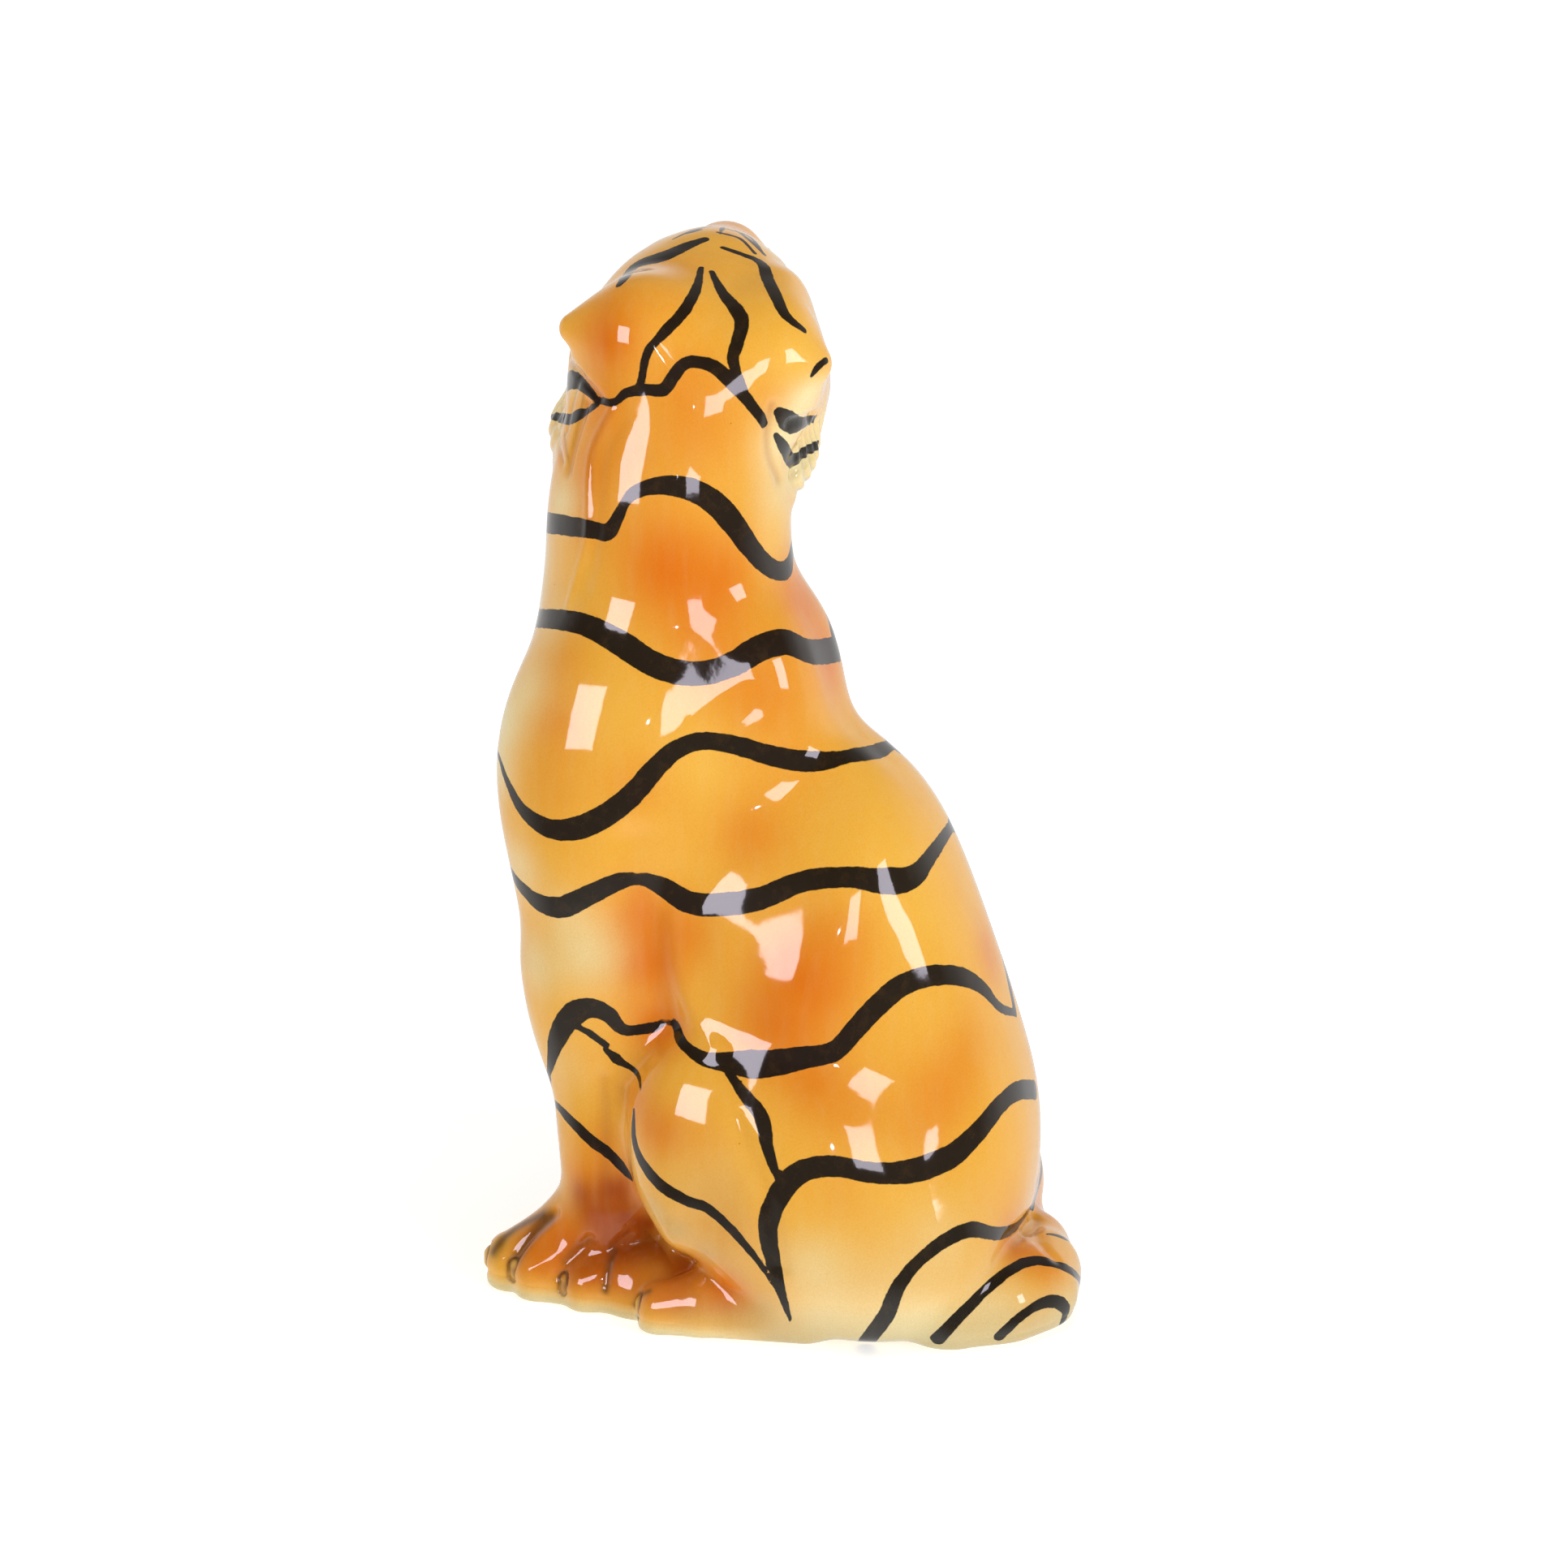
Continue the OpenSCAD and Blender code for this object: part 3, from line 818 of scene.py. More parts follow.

# airbrushed areas, a few of them painted shade: pixel, radius in px, colour, strength
BLOBS = [
    # head and neck
    (750, 420, 46, DEEP, 0.95), (742, 505, 48, DEEP, 0.60), (728, 580, 46, DEEP, 0.55), (830, 330, 50, DEEP, 0.25),
    (720, 640, 40, DEEP, 0.35), (855, 505, 70, DEEP, 0.30), (760, 370, 40, DEEP, 0.35), (700, 615, 28, CREAM, 0.30),
    (972, 535, 46, CREAM, 0.95), (994, 490, 34, CREAM, 0.90), (962, 615, 50, CREAM, 0.55), (955, 455, 38, YELLOW, 0.25), (948, 485, 30, DEEP, 0.22), (985, 575, 34, CREAM, 0.90),
    (690, 490, 24, CREAM, 0.70), (688, 535, 24, CREAM, 0.35), (690, 560, 20, DEEP, 0.40), (706, 468, 20, CREAM, 0.60), (985, 440, 30, YELLOW, 0.60), (860, 545, 60, DEEP, 0.32), (780, 560, 40, DEEP, 0.30), (845, 470, 44, DEEP, 0.35), (800, 640, 50, DEEP, 0.25), (830, 375, 40, DEEP, 0.25),
    (690, 622, 30, CREAM, 0.60), (955, 660, 36, YELLOW, 0.60),
    # shoulders
    (820, 700, 64, DEEP, 0.95), (885, 712, 56, DEEP, 0.75), (862, 772, 60, DEEP, 0.55), (990, 730, 50, DEEP, 0.60),
    (1020, 810, 46, DEEP, 0.60), (940, 850, 74, DEEP, 0.60), (692, 815, 42, DEEP, 0.35), (692, 890, 46, DEEP, 0.50),
    (680, 970, 50, DEEP, 0.25), (786, 965, 44, DEEP, 0.35), (925, 1030, 50, DEEP, 0.55), (985, 940, 60, DEEP, 0.25),
    (622, 890, 42, CREAM, 0.85), (616, 950, 34, CREAM, 0.70), (640, 1070, 38, CREAM, 0.55), (648, 850, 44, CREAM, 0.55),
    (682, 770, 34, CREAM, 0.30), (862, 938, 44, YELLOW, 0.50), (745, 880, 44, YELLOW, 0.30),
    # flank and elbow; the deep orange down the elbow crease is painted shade
    (790, 1130, 46, DEEP, 0.70), (800, 1190, 46, DEEP, 0.95), (812, 1268, 42, DEEP, 0.95), (782, 1350, 36, DEEP, 0.55),
    (842, 1150, 42, DEEP, 0.65), (990, 1210, 72, DEEP, 0.95), (958, 1270, 56, DEEP, 0.80), (1032, 1150, 50, DEEP, 0.40),
    (1222, 1170, 40, DEEP, 0.35), (1000, 1330, 46, DEEP, 0.65), (1052, 1372, 50, DEEP, 0.45), (1160, 1350, 52, DEEP, 0.50),
    (1182, 1290, 50, DEEP, 0.40), (1130, 1410, 42, DEEP, 0.30), (1042, 1480, 46, DEEP, 0.25),
    (1100, 1070, 64, YELLOW, 0.35), (1142, 1130, 54, YELLOW, 0.45), (1070, 970, 54, YELLOW, 0.30), (1150, 1262, 42, YELLOW, 0.30),
    # foreleg, knee and haunch; the tan and greyish cream patches on the knee are painted shade
    (722, 1175, 46, CREAM, 0.60), (660, 1190, 40, CREAM, 0.55), (650, 1260, 30, CREAM, 0.35), (700, 1130, 36, CREAM, 0.35), (690, 1310, 40, CREAM, 0.25), (742, 1415, 40, DEEP, 0.45),
    (716, 1452, 30, DEEP, 0.45), (780, 1430, 30, CREAM, 0.30), (865, 1465, 54, CREAM, 0.22), (815, 1396, 34, DEEP, 0.50), (845, 1430, 40, YELLOW, 0.35), (892, 1520, 52, TAN_SHADE, 0.45), (868, 1470, 50, TAN_SHADE, 0.25), (806, 1394, 40, DEEP, 0.35),
    (925, 1556, 40, CREAM, 0.15), (858, 1400, 40, DEEP, 0.25), (1020, 1530, 52, YELLOW, 0.50), (1100, 1470, 54, YELLOW, 0.40),
    (1070, 1600, 66, CREAM, 0.40), (1015, 1622, 52, CREAM, 0.60), (1160, 1535, 52, CREAM, 0.35), (1220, 1610, 50, CREAM, 0.50),
    (1000, 1560, 40, CREAM, 0.45), (1100, 1650, 50, CREAM, 0.80),
    (1140, 1632, 52, CREAM, 0.70), (1252, 1538, 44, DEEP, 0.65), (1290, 1560, 34, DEEP, 0.45), (1312, 1612, 30, CREAM, 0.40),
    (805, 1490, 22, SHADE, 0.40), (835, 1515, 22, SHADE, 0.45), (870, 1545, 24, SHADE, 0.40), (905, 1575, 26, SHADE, 0.35), (940, 1605, 28, SHADE, 0.35),
    # paws
    (660, 1550, 44, DEEP, 0.80), (720, 1570, 44, DEEP, 0.80), (770, 1580, 40, DEEP, 0.80), (830, 1590, 40, DEEP, 0.70),
    (758, 1470, 40, DEEP, 0.75), (735, 1500, 40, RUST, 0.90), (785, 1510, 38, RUST, 0.80), (690, 1525, 38, DEEP, 0.85),
    (800, 1555, 42, RUST, 0.45), (722, 1556, 36, RUST, 0.65), (845, 1578, 40, RUST, 0.35), (850, 1565, 40, DEEP, 0.50), (895, 1592, 36, DEEP, 0.95),
    (655, 1525, 30, DEEP, 0.55), (755, 1465, 20, RUST, 0.70), (716, 1470, 18, RUST, 0.55), (760, 1540, 34, RUST, 0.70),
    (820, 1600, 30, DEEP, 0.70),
]

# soft lines, airbrushed and, along the modelled grooves, painted shade: colour, strength, half width in mm, pixels
SOFT = [
    # brown between the toes, which also stands for the shade in their grooves
    (BROWN, 0.90, 3.2, [(676, 1500), (660, 1515), (646, 1532), (636, 1550)]),
    (BROWN, 0.80, 3.2, [(668, 1497), (642, 1509), (622, 1524), (609, 1541)]),
    (BROWN, 0.60, 2.0, [(722, 1530), (708, 1543), (696, 1556)]),
    (BROWN, 0.75, 1.8, [(756, 1540), (751, 1555), (747, 1572), (746, 1590)]),
    # painted shade in the grooves beside the cheek ruffs
    (RUST, 0.50, 1.6, [(722, 498), (712, 530), (704, 560), (700, 580)]),
    (RUST, 0.40, 1.8, [(952, 500), (946, 530), (948, 560), (960, 590)]),
    (BROWN, 0.60, 1.8, [(806, 1518), (796, 1524), (784, 1534)]),
    (BROWN, 0.60, 1.6, [(800, 1591), (788, 1598), (782, 1608)]),
    (RUST, 0.45, 2.4, [(770, 1500), (790, 1505), (808, 1508)]),
    # painted shade under the lower edge of the ear
    (RUST, 0.70, 1.5, [(694, 426), (704, 446), (720, 467), (738, 488)]),
    (BROWN, 0.55, 0.8, [(700, 438), (694, 458), (688, 478), (683, 500)]),
    (BROWN, 0.55, 0.8, [(706, 450), (701, 470), (695, 490), (690, 512)]),
    (BROWN, 0.55, 0.8, [(714, 462), (709, 482), (703, 505), (698, 530)]),
    (BROWN, 0.45, 0.8, [(721, 474), (717, 495), (711, 520), (704, 550)]),
    (BROWN, 0.45, 0.8, [(684, 520), (688, 545), (693, 570)]),
    (BROWN, 0.40, 0.8, [(695, 535), (698, 555), (700, 578)]),
    # painted shade down the elbow crease, in the groove beside the neck ridge and in the grooves of the forelegs
    (DEEP, 0.60, 4.0, [(790, 1100), (800, 1180), (818, 1250)]),
    (RUST, 0.35, 1.6, [(757, 500), (731, 553), (726, 601), (727, 648)]),
    (RUST, 0.16, 2.4, [(744, 1330), (748, 1400), (742, 1470)]),
    (RUST, 0.16, 2.4, [(770, 1345), (774, 1420), (770, 1500)]),
]


def stroke_line(widths, pts):
    q = spline(pts, 5.0)
    s = np.concatenate([[0], np.cumsum(np.hypot(*np.diff(q, axis=0).T))])
    w = np.interp(s / s[-1], np.linspace(0, 1, len(widths)), widths)
    return cast(q), w / 2.0 / PPM + 0.3


def march(p0, direction, length, turn, f=base_sdf, step=2.0):
    """A line on the skin: sets off from p0, keeps its heading, and bends by turn (degrees per mm) to the left."""
    p = np.array([p0], float)
    d = np.asarray(direction, float)
    out = [p[0].copy()]
    for _ in range(int(length / step)):
        n = gradient(p, f)[0]
        n /= np.linalg.norm(n)
        d = d - (d @ n) * n
        d /= np.linalg.norm(d)
        a = math.radians(turn * step)
        d = d * math.cos(a) + np.cross(n, d) * math.sin(a)
        p = p + step * d
        for _ in range(2):
            g = gradient(p, f)
            p = p - (f(p) / np.maximum((g * g).sum(1), 0.2))[:, None] * g
        out.append(p[0].copy())
    return np.array(out)


LINES = []                      # (points, half widths)


def add_line(L, w):
    """Lays a stroke, lifted off where it crosses from one limb to another behind it."""
    jump = np.linalg.norm(np.diff(L, axis=0), axis=1)
    cuts = np.where(jump > max(12.0, 3.5 * np.median(jump)))[0] + 1
    for a, b in zip(np.split(L, cuts), np.split(w, cuts)):
        if len(a) > 1 and np.linalg.norm(np.diff(a, axis=0), axis=1).sum() > 7.0:
            LINES.append((a, b))


def taper(n, w0, w1=0.5):
    t = np.linspace(0, 1, n)
    return w0 + (w1 - w0) * t ** 1.4


# strokes that run on round the chest: (stroke, length in mm, bend)
ROUND = {13: (34, 0.5), 14: (46, -0.5), 15: (26, -1.2), 16: (38, 0.7), 17: (24, 1.0), 20: (20, 0.6)}
for i, (wd, pts) in enumerate(STROKES):
    L, w = stroke_line(wd, pts)
    if i in ROUND:
        more = march(L[0], L[0] - L[3], *ROUND[i])[::-1]
        L = np.vstack([more[:-1], L])
        w = np.concatenate([taper(len(more) - 1, max(w[0], 2.4), 0.4)[::-1], w])
    add_line(L, w)
    if i >= HEAD_STROKES:
        # the side that the photo hides: the same hand, a little different
        M = L * np.array([-1.0, 1.0, 1.0])
        M[:, 2] += 4.0 * np.sin(M[:, 1] / 17.0 + i) + 2.0 * math.sin(i * 2.1)
        M[:, 1] += 3.0 * np.sin(M[:, 2] / 23.0 + 2 * i)
        end = L[L[:, 0].argmin()]
        m = M[:, 0] < min(-5.0, end[0])
        if m.sum() > 4:
            if end[0] < -3.0:
                near = M[m][M[m][:, 0].argmax()]
                M[m] += np.exp((M[m][:, :1] - end[0]) / 25.0) * (end - near)
            add_line(M[m], w[m])


def in_head(rows):
    """Points given on the head's own axes (left, forward, up), set on the skin."""
    p = np.asarray(rows, float) @ HF.T + HC
    for _ in range(6):
        g = gradient(p, sdf)
        p = p - (np.clip(sdf(p), -4, 4) / np.maximum((g * g).sum(1), 0.3))[:, None] * g
    return p


def face_line(rows, widths, both=True):
    for s in (1, -1) if both else (1,):
        r = spline(np.asarray(rows, float) * np.array([s, 1, 1]), 1.5)
        t = np.linspace(0, 1, len(r))
        w = np.interp(t, np.linspace(0, 1, len(widths)), widths)
        LINES.append((in_head(r), w / 2.0))


face_line([(10, 54, 8), (13, 54.5, 11), (18, 54.5, 13), (24, 49, 11.5), (30, 43, 8)], (1.2, 2.4, 2.6, 2.4, 0.8))
face_line([(9, 54, 6), (13, 54, 2.5), (18, 53.5, 0.8), (24, 48.5, 2.5), (30, 43, 8)], (2.2, 1.6, 1.6, 1.6, 0.8))
face_line([(9, 54, 7), (8.5, 60, 3), (9.5, 68, -1)], (2.2, 1.4, 0.4))
face_line([(0, 87, -13), (0, 84, -19), (0, 80, -25)], (1.2, 1.2, 1.2), False)
face_line([(0, 80, -25), (6, 80, -28.5), (15, 73, -29.5), (26, 55, -27)], (1.4, 1.7, 1.7, 0.8))
face_line([(3, 50, 19), (9, 44, 23), (17, 36, 25)], (0.8, 3.0, 1.0))
face_line([(0, 52, 19), (0, 46, 23), (0, 40, 27)], (0.6, 2.2, 0.8), False)
face_line([(46, 10, 3), (38, 28, 0), (30, 40, -3)], (0.8, 3.6, 0.8))
face_line([(50, 6, -12), (42, 24, -13), (31, 38, -14)], (1.0, 4.2, 0.8))
face_line([(49, 6, -28), (40, 20, -29), (29, 33, -28)], (0.8, 3.8, 0.8))
for a, b, c in ((14, 78, -13), (19, 74, -14), (14, 79, -17.5), (19.5, 74, -18.5), (23, 69, -17), (16, 77, -21.5)):
    face_line([(a, b, c), (a + 0.4, b - 0.3, c)], (1.5, 1.5))
EYES = [np.array([s * 18.5, 44.5, 6.3]) for s in (1, -1)]
SOFT3 = []
for c, a, wd, pts in SOFT:
    L = cast(spline(pts, 8.0))
    SOFT3 += [(c, a, wd, L)] + [(c, a, wd, other_side(L))] * (L[0, 2] < 340.0)


def paint(V, N):
    """Base colour (linear RGB), signed distance to the brush strokes (mm) and bare clay at the points."""
    n = len(V)
    col = np.tile(GOLD, (n, 1))

    def over(c, a):
        nonlocal col
        col = col * (1 - a[:, None]) + np.asarray(c) * a[:, None]

    # broad zones: paler towards the belly, chest and base
    x, y, z = V.T
    low = np.clip((30.0 - z) / 30.0, 0, 1) * np.clip((y + 10.0) / 30.0, 0, 1)
    over(CREAM, 0.60 * low ** 1.5)
    chest = np.exp(-(x / 27.0) ** 2) * np.clip((-N[:, 1] - 0.25) / 0.6, 0, 1) * np.clip((332.0 - z) / 20.0, 0, 1)
    over(CREAM, 0.85 * chest)
    inner = np.exp(-(x / 16.0) ** 2) * (y < 0) * np.clip((150.0 - z) / 40.0, 0, 1)
    over(CREAM, 0.5 * inner)
    for px, r, c, a in BLOB3:
        m = within(V, px - 2.4 * r, px + 2.4 * r)
        if m.any():
            w = np.zeros(n)
            w[m] = a * np.exp(-((V[m] - px) ** 2).sum(1) / (r * r))
            over(c, w)
    # painted shade: greyer and darker towards the foot
    over(SHADE, 0.80 * np.clip((24.0 - z) / 24.0, 0, 1) ** 1.1 * np.clip((y + 40.0) / 30.0, 0, 1))
    # painted shade: rust darkening in the creases, as far as the skin around is closed in, lighter on the paws
    crease_shade = np.clip((7.0 - many(V + 7.0 * N)) / 7.0, 0, 1)
    over(RUST, np.where((z < 45) & (y < 12), 0.15, 0.40) * np.clip((crease_shade - 0.3) / 0.6, 0, 1))
    # paws: golden toes, cream soles greying along the bottom edge as painted shade, brown between the toes
    paw = (y < 16) & (z < 45)
    if paw.any():
        for s in (1, -1):
            q = V * np.array([s, 1.0, 1.0])
            k = q.copy()
            if s < 0:
                k[:, 1] -= STAGGER
            for rows, p in ((LEG_TOES, k), (FOOT[1:3], q)):
                for t in rows:
                    d2 = ((p - np.asarray(t[2], float)) ** 2).sum(1)
                    over(YELLOW, 0.15 * np.exp(-d2 / 90.0) * paw)
        pw = np.clip((16.0 - y) / 26.0, 0, 1) * (z < 45)
        over(YELLOW, 0.55 * np.clip((15.0 - z) / 9.0, 0, 1) * pw)
        over(CREAM, 0.85 * np.clip((8.0 - z) / 5.0, 0, 1) * pw)
        over(SHADE, 0.75 * np.clip((5.0 - z) / 5.0, 0, 1) * pw)
    # soft lines, among them painted shade along the grooves of the toes, cheeks, neck, elbow and forelegs and under the
    # ear
    for c, a, wd, L in SOFT3:
        m = within(V, L.min(0) - 3 * wd, L.max(0) + 3 * wd)
        if m.any():
            w = np.zeros(n)
            w[m] = a * np.exp(-(line_dist(V[m], L, np.zeros(len(L))) / wd) ** 2)
            over(c, w)
    # claws: a yellow nail with a brown halo and a darker ring in the groove round it, fading towards the bottom; the
    # ring is partly painted shade of the groove
    if paw.any():
        for s in (1, -1):
            q = V * np.array([s, 1.0, 1.0])
            k = q.copy()
            if s < 0:
                k[:, 1] -= STAGGER
            for rows, p in ((FORE_CLAWS, k), (HIND_CLAWS, q)):
                for a, b in rows:
                    m = paw & within(p, np.minimum(a, b) - 8, np.maximum(a, b) + 8)
                    if m.any():
                        c = np.full(n, 9.0)
                        c[m] = rod(p[m], a, b, 3.3, 2.8)
                        over(BROWN, 0.45 * np.exp(-(np.maximum(c, 0) / 1.8) ** 2))
                        over(BROWN * 0.6, 0.75 * np.exp(-((c - 0.9) / 0.65) ** 2) * np.clip((p[:, 2] - b[2] + 1.0) / 4.0, 0.15, 1.0))
                        over(YELLOW, 0.85 * np.clip((0.4 - c) / 0.8, 0, 1))
    ink = np.full(n, 9.0)
    for L, w in LINES:
        pad = w.max() + 6.0
        m = within(V, L.min(0) - pad, L.max(0) + pad)
        if m.any():
            ink[m] = np.minimum(ink[m], line_dist(V[m], L, w))
    # the face
    if (z > 330).any():
        q = to_head(V)
        a = np.abs(q[:, 0])
        w = q.copy()
        w[:, 0] = a
        up = z > 330

        def puff(c, r, colour, amount):
            d2 = (((w - np.asarray(c, float)) / r) ** 2).sum(1)
            over(colour, amount * np.exp(-d2) * up)

        puff((0, 60, 10), (14, 26, 16), DEEP, 0.45)
        puff((12, 70, -17), (17, 20, 14), WHITE, 1.0)
        puff((0, 60, -34), (20, 24, 14), WHITE, 0.95)
        puff((19, 48, 18.5), (9, 10, 5), WHITE, 0.85)
        puff((22, 50, -4), (9, 10, 5), WHITE, 0.60)
        puff((38, 14, -28), (16, 20, 18), CREAM, 0.75)
        ruff = np.exp(-(((a - 47) / 14) ** 2 + ((q[:, 1] + 10) / 22) ** 2 + ((q[:, 2] + 33) / 22) ** 2) ** 2) * up
        over(CREAM, 0.80 * ruff)
        # brown fur laid into the grooves between the combed strands, partly painted shade in these grooves
        over(BROWN, 0.20 * ruff * np.clip(-np.sin(strand(q)), 0, 1) ** 2)
        # inside of the ears
        e = egg(w, (38, 9, 22), (12, 14, 13), (0, 0, -25))
        over(PINK, 0.65 * np.clip((1.2 - np.abs(e)) / 1.0, 0, 1) * up * (np.abs(sd_ears(V)) < 1.5))
        puff((40, -2, 22), (6, 8, 7), CREAM, 0.55)
        # nose
        d = egg(w, (0, 83.0, -7.5), (9.0, 6.0, 5.5))
        over(srgb((196, 106, 84)), np.clip((1.2 - d) / 1.0, 0, 1) * up)
        d = egg(w, (5, 87.5, -9.5), (3.0, 4.5, 2.2), (0, 20, 25))
        over(BROWN * 0.3, np.clip((0.9 - d) / 0.8, 0, 1) * up)
        # eyes
        for c, s in zip(EYES, (1, -1)):
            v = q - c
            r = np.sqrt((v * v).sum(1)) + 1e-9
            near = (np.abs(r - 9.0) < 0.8) & up
            g = np.array([s * 0.16, 0.98, 0.06])
            off = 9.0 * np.arccos(np.clip((v @ (g / np.linalg.norm(g))) / r, -1, 1))
            over(BROWN * 0.15, near * np.clip((8.6 - off) / 0.5, 0, 1))
            over(srgb((206, 190, 66)), near * np.clip((4.9 - off) / 0.4, 0, 1))
            over(srgb((120, 130, 30)), near * 0.6 * np.exp(-((off - 4.4) / 0.8) ** 2))
            over(BROWN * 0.05, near * np.clip((2.3 - off) / 0.3, 0, 1))
            ink = np.where(near & (off < 8.0), 9.0, ink)
    bare = np.clip((1.0 - z) / 0.6, 0, 1) * np.clip((-N[:, 2] - 0.5) / 0.3, 0, 1)
    bare = np.maximum(bare, (np.hypot(x - DRAIN[0], y - DRAIN[1]) < DRAIN[2] + 40) * (z < 80) * (z > 0.5)
                      * (many(V + 0.5 * N, base_sdf) < -3.0))
    over(BISQUE, bare)
    ink = np.where(bare > 0.4, 9.0, ink)
    return col, ink, bare


BLOB3 = []
for b, p in zip(BLOBS, cast([b[:2] for b in BLOBS])):
    BLOB3.append((p, b[2] / PPM, b[3], b[4]))
    if p[2] < 325:
        BLOB3.append((other_side(p[None])[0], b[2] / PPM, b[3], b[4]))


# ----------------------------------------------------------------- materials
def glaze(name):
    mat = bpy.data.materials.new(name)
    mat.use_nodes = True
    nt = mat.node_tree
    nt.nodes.clear()
    N, Lk = nt.nodes.new, nt.links.new
    out = N("ShaderNodeOutputMaterial")
    bs = N("ShaderNodeBsdfPrincipled")
    Lk(bs.outputs[0], out.inputs[0])
    bs.inputs["IOR"].default_value = 1.52
    tc = N("ShaderNodeTexCoord")

    def noise(scale, detail=2.0, rough=0.5):
        n = N("ShaderNodeTexNoise")
        n.inputs["Scale"].default_value = scale
        n.inputs["Detail"].default_value = detail
        n.inputs["Roughness"].default_value = rough
        Lk(tc.outputs["Object"], n.inputs["Vector"])
        return n.outputs["Fac"]

    def math_(op, a, b=None, c=None, clamp=False):
        m = N("ShaderNodeMath")
        m.operation = op
        m.use_clamp = clamp
        for i, v in enumerate((a, b, c)):
            if v is None:
                continue
            if isinstance(v, (int, float)):
                m.inputs[i].default_value = v
            else:
                Lk(v, m.inputs[i])
        return m.outputs[0]

    def ramp(v, a, b, c, d):
        m = N("ShaderNodeMapRange")
        m.inputs["From Min"].default_value = a
        m.inputs["From Max"].default_value = b
        m.inputs["To Min"].default_value = c
        m.inputs["To Max"].default_value = d
        Lk(v, m.inputs["Value"])
        return m.outputs["Result"]

    def mix(f, a, b, kind="MIX"):
        m = N("ShaderNodeMix")
        m.data_type = "RGBA"
        m.blend_type = kind
        for s, v in ((m.inputs[0], f), (m.inputs[6], a), (m.inputs[7], b)):
            if isinstance(v, (int, float)):
                s.default_value = v
            elif isinstance(v, tuple):
                s.default_value = v
            else:
                Lk(v, s)
        return m.outputs[2]

    pa = N("ShaderNodeAttribute")
    pa.attribute_name = "paint"
    ia = N("ShaderNodeAttribute")
    ia.attribute_name = "ink"
    # airbrush: fine droplets and slow drifts of tone
    drop = ramp(noise(1500.0, 2.0, 0.6), 0.30, 0.62, 0.0, 1.0)
    drift = ramp(noise(38.0, 3.0, 0.55), 0.3, 0.7, 0.0, 1.0)
    mp = N("ShaderNodeMapping")
    mp.inputs["Scale"].default_value = (1.0, 1.0, 0.16)
    Lk(tc.outputs["Object"], mp.inputs["Vector"])
    sn = N("ShaderNodeTexNoise")
    sn.inputs["Scale"].default_value = 240.0
    sn.inputs["Detail"].default_value = 2.0
    Lk(mp.outputs[0], sn.inputs["Vector"])
    streak = ramp(sn.outputs["Fac"], 0.45, 0.75, 0.0, 1.0)
    c = mix(math_("MULTIPLY", math_("SUBTRACT", 1.0, drop), 0.55), pa.outputs["Color"], (0.95, 0.80, 0.60, 1.0), "MULTIPLY")
    c = mix(math_("MULTIPLY", drift, 0.35), c, (0.97, 0.84, 0.62, 1.0), "MULTIPLY")
    c = mix(math_("MULTIPLY", streak, 0.05), c, (0.90, 0.68, 0.32, 1.0))
    # the black: brushed on, with a slightly ragged edge and thinner, browner places
    edge = math_("ADD", ia.outputs["Fac"], math_("MULTIPLY_ADD", noise(240.0, 2.0), 0.9, -0.45))
    edge = math_("ADD", edge, math_("MULTIPLY_ADD", noise(1300.0, 1.0), 0.24, -0.12))
    body = ramp(edge, 0.16, -0.16, 0.0, 1.0)
    thin = ramp(noise(170.0, 4.0, 0.65), 0.5, 0.8, 0.0, 1.0)
    black = mix(thin, (0.0075, 0.0060, 0.0050, 1.0), (0.030, 0.016, 0.007, 1.0))
    c = mix(math_("MULTIPLY", body, 0.985), c, black)
    # a few pinholes and specks in the glaze
    vo = N("ShaderNodeTexVoronoi")
    vo.inputs["Scale"].default_value = 120.0
    Lk(tc.outputs["Object"], vo.inputs["Vector"])
    sep = N("ShaderNodeSeparateColor")
    Lk(vo.outputs["Color"], sep.inputs[0])
    speck = math_("MULTIPLY", math_("LESS_THAN", vo.outputs["Distance"], 0.030), math_("GREATER_THAN", sep.outputs[0], 0.88))
    c = mix(math_("MULTIPLY", speck, 0.7), c, (0.10, 0.045, 0.015, 1.0))
    Lk(c, bs.inputs["Base Color"])
    ba = N("ShaderNodeAttribute")
    ba.attribute_name = "bare"
    Lk(ramp(ba.outputs["Fac"], 0.0, 1.0, 0.055, 0.75), bs.inputs["Roughness"])
    bump = N("ShaderNodeBump")
    bump.inputs["Strength"].default_value = 0.35
    bump.inputs["Distance"].default_value = 0.0005
    hsum = math_("ADD", noise(70.0, 1.0, 0.4), math_("MULTIPLY", noise(420.0, 1.0), 0.05))
    hsum = math_("ADD", hsum, math_("MULTIPLY", speck, -0.2))
    Lk(hsum, bump.inputs["Height"])
    Lk(bump.outputs[0], bs.inputs["Normal"])
    return mat


MATS = {s: glaze(s) for s in ("body_glaze", "ear_glaze", "paw_glaze")}


def mesh_piece(name, V, T, N, nv, slot, nodes):
    me = bpy.data.meshes.new(name)
    me.from_pydata((V * 0.001).tolist(), [], T.tolist())
    me.polygons.foreach_set("use_smooth", np.ones(len(me.polygons), bool))
    col, ink, bare = paint(V, N)
    a = me.attributes.new("paint", "FLOAT_COLOR", "POINT")
    a.data.foreach_set("color", np.hstack([col, np.ones((len(V), 1))]).astype(np.float32).ravel())
    a = me.attributes.new("ink", "FLOAT", "POINT")
    a.data.foreach_set("value", ink.astype(np.float32))
    a = me.attributes.new("bare", "FLOAT", "POINT")
    a.data.foreach_set("value", bare.astype(np.float32))
    me.update()
    me.normals_split_custom_set_from_vertices(N.tolist())
    ob = bpy.data.objects.new(name, me)
    bpy.context.scene.collection.objects.link(ob)
    me.materials.append(MATS[slot])
    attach(ob, "root")
    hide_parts(*nodes)
    return ob


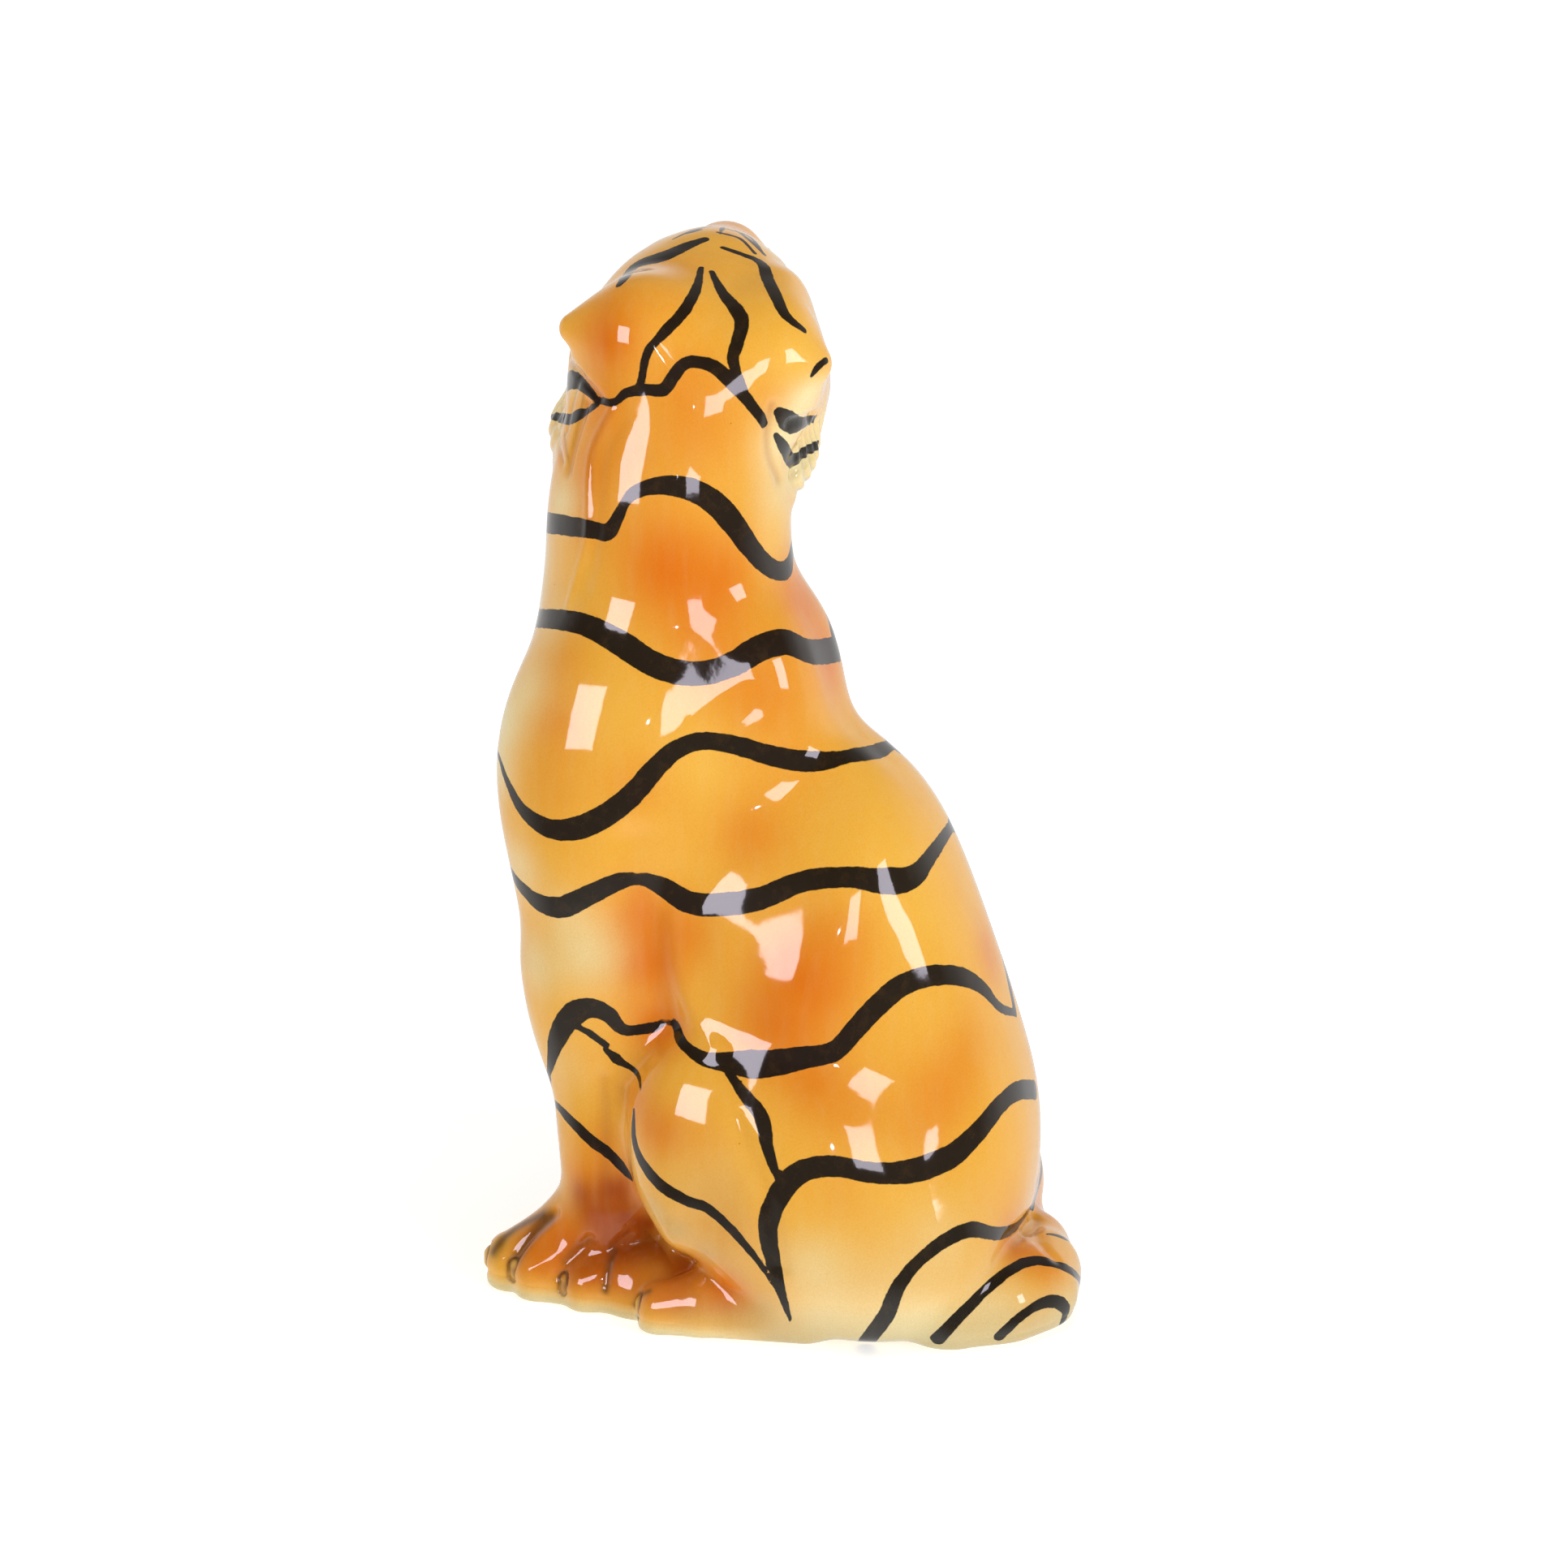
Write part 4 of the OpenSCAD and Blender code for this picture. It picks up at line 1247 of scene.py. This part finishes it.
for name, i, lo, hi, h, planes, nodes, slot in PIECES:
    V, T, N, nv = build(i, lo, hi, h, planes)
    print(name, len(V), "points", len(T), "triangles", V.min(0).round(1), V.max(0).round(1))
    mesh_piece(name, V, T, N, nv, slot, nodes)
for name, s, nodes in (("left_ear_glazed", 1, ["left_ear"]), ("right_ear_glazed", -1, ["right_ear"])):
    ax = -s * HF[:, 0]
    V, T, N, nv = build(7, (-80, -100, 350), (60, 30, 440), 0.8 * S, [(ax, float(ax @ HC))])
    print(name, len(V), "points", len(T), "triangles", V.min(0).round(1), V.max(0).round(1))
    mesh_piece(name, V, T, N, nv, "ear_glaze", nodes)


# ------------------------------------------------------- floor, light, camera
def plane(name, size):
    me = bpy.data.meshes.new(name)
    s = size / 2
    me.from_pydata([(-s, -s, 0), (s, -s, 0), (s, s, 0), (-s, s, 0)], [], [(0, 1, 2, 3)])
    ob = bpy.data.objects.new(name, me)
    bpy.context.scene.collection.objects.link(ob)
    return ob


floor = plane("floor", 30.0)
fm = bpy.data.materials.new("floor_white")
fm.use_nodes = True
fb = fm.node_tree.nodes["Principled BSDF"]
fb.inputs["Base Color"].default_value = (0.90, 0.90, 0.90, 1.0)
fb.inputs["Roughness"].default_value = 0.6
fb.inputs["Emission Color"].default_value = (1.0, 1.0, 1.0, 1.0)
ft = fm.node_tree
fc = ft.nodes.new("ShaderNodeTexCoord")
fl = ft.nodes.new("ShaderNodeVectorMath")
fl.operation = "LENGTH"
ft.links.new(fc.outputs["Object"], fl.inputs[0])
fr = ft.nodes.new("ShaderNodeMapRange")
for k, v in (("From Min", 0.25), ("From Max", 1.8), ("To Min", 0.55), ("To Max", 0.84)):
    fr.inputs[k].default_value = v
ft.links.new(fl.outputs["Value"], fr.inputs["Value"])
ft.links.new(fr.outputs["Result"], fb.inputs["Emission Strength"])
floor.data.materials.append(fm)
floor.visible_glossy = False


def softbox(name, az_off, el, dist, w, h, radiance, tint=(1, 1, 1), gloss=None):
    """A rectangular light; gloss (radiance, width, height) is what the glaze mirrors of it."""
    a, e = math.radians(AZ + az_off), math.radians(el)
    d = Vector((math.sin(a) * math.cos(e), -math.cos(a) * math.cos(e), math.sin(e)))
    for tag, (r, u, v) in (("", (radiance, w, h)), ("_mirrored", gloss or (0, 0, 0))):
        if r <= 0:
            continue
        li = bpy.data.lights.new(name + tag, "AREA")
        li.shape = "RECTANGLE"
        li.size, li.size_y = u, v
        li.energy = r * math.pi * u * v
        li.color = (1.0, 0.94, 1.10) if tag else tint
        ob = bpy.data.objects.new(name + tag, li)
        ob.location = d * (dist - 0.03 * bool(tag)) + Vector((0, 0, 0.2))
        ob.rotation_euler = (-d).to_track_quat("-Z", "Y").to_euler()
        ob.visible_diffuse = not tag
        ob.visible_glossy = bool(tag)
        bpy.context.scene.collection.objects.link(ob)


softbox("softbox_left", -41.0, 16.0, 1.6, 0.66, 0.80, 2.2, (0.96, 0.99, 1.05), (9.5, 0.60, 0.66))
softbox("softbox_right", 45.0, 18.0, 1.6, 0.64, 0.84, 5.8, (0.96, 0.99, 1.05))
softbox("softbox_far", 58.0, 14.0, 1.6, 0.34, 0.46, 0.0, (1, 1, 1), (9.0, 0.34, 0.46))
softbox("softbox_near", 20.0, 12.0, 1.6, 0.36, 0.42, 0.0, (1, 1, 1), (8.5, 0.36, 0.42))
softbox("softbox_top", 0.0, 80.0, 1.9, 1.3, 1.3, 3.4, (1.0, 0.99, 0.97))
softbox("lamp", 5.0, 11.0, 2.0, 0.04, 0.04, 0.0, (1, 1, 1), (90.0, 0.04, 0.04))

world = bpy.data.worlds.new("studio")
bpy.context.scene.world = world
world.use_nodes = True
wt = world.node_tree
bg = wt.nodes["Background"]
tcw = wt.nodes.new("ShaderNodeTexCoord")
dot = wt.nodes.new("ShaderNodeVectorMath")
dot.operation = "DOT_PRODUCT"
dot.inputs[1].default_value = tuple(float(v) for v in V_BACK)
wt.links.new(tcw.outputs["Generated"], dot.inputs[0])
mr = wt.nodes.new("ShaderNodeMapRange")
mr.inputs["From Min"].default_value = 0.25
mr.inputs["From Max"].default_value = -0.25
mr.inputs["To Min"].default_value = 0.14
mr.inputs["To Max"].default_value = 0.85
wt.links.new(dot.outputs["Value"], mr.inputs["Value"])
# the glaze mirrors the table only where it looks steeply down on it
sx = wt.nodes.new("ShaderNodeSeparateXYZ")
wt.links.new(tcw.outputs["Generated"], sx.inputs[0])
md = wt.nodes.new("ShaderNodeMapRange")
for k, v in (("From Min", -0.35), ("From Max", -0.75), ("To Min", 0.0), ("To Max", 0.85)):
    md.inputs[k].default_value = v
wt.links.new(sx.outputs["Z"], md.inputs["Value"])
# and the paper behind it stands only so high
mh = wt.nodes.new("ShaderNodeMapRange")
for k, v in (("From Min", 0.25), ("From Max", 0.60), ("To Min", 1.0), ("To Max", 0.25)):
    mh.inputs[k].default_value = v
wt.links.new(sx.outputs["Z"], mh.inputs["Value"])
ml = wt.nodes.new("ShaderNodeMath")
ml.operation = "MULTIPLY"
wt.links.new(mr.outputs["Result"], ml.inputs[0])
wt.links.new(mh.outputs["Result"], ml.inputs[1])
mx = wt.nodes.new("ShaderNodeMath")
mx.operation = "MAXIMUM"
wt.links.new(ml.outputs[0], mx.inputs[0])
wt.links.new(md.outputs["Result"], mx.inputs[1])
wt.links.new(mx.outputs[0], bg.inputs["Strength"])
bg.inputs["Color"].default_value = (1.0, 1.0, 1.0, 1.0)

cam = bpy.data.cameras.new("photo_camera")
co = bpy.data.objects.new("photo_camera", cam)
bpy.context.scene.collection.objects.link(co)
co.location = Vector(EYE * 0.001)
co.rotation_euler = Vector(-V_BACK).to_track_quat("-Z", "Y").to_euler()
cam.sensor_fit = "HORIZONTAL"
cam.sensor_width = 36.0
cam.lens = 18.0 * (DIST * PPM) / 966.0
cam.clip_end = 100.0
bpy.context.scene.camera = co
bpy.context.scene.view_settings.view_transform = "Standard"
bpy.context.scene.view_settings.look = "None"
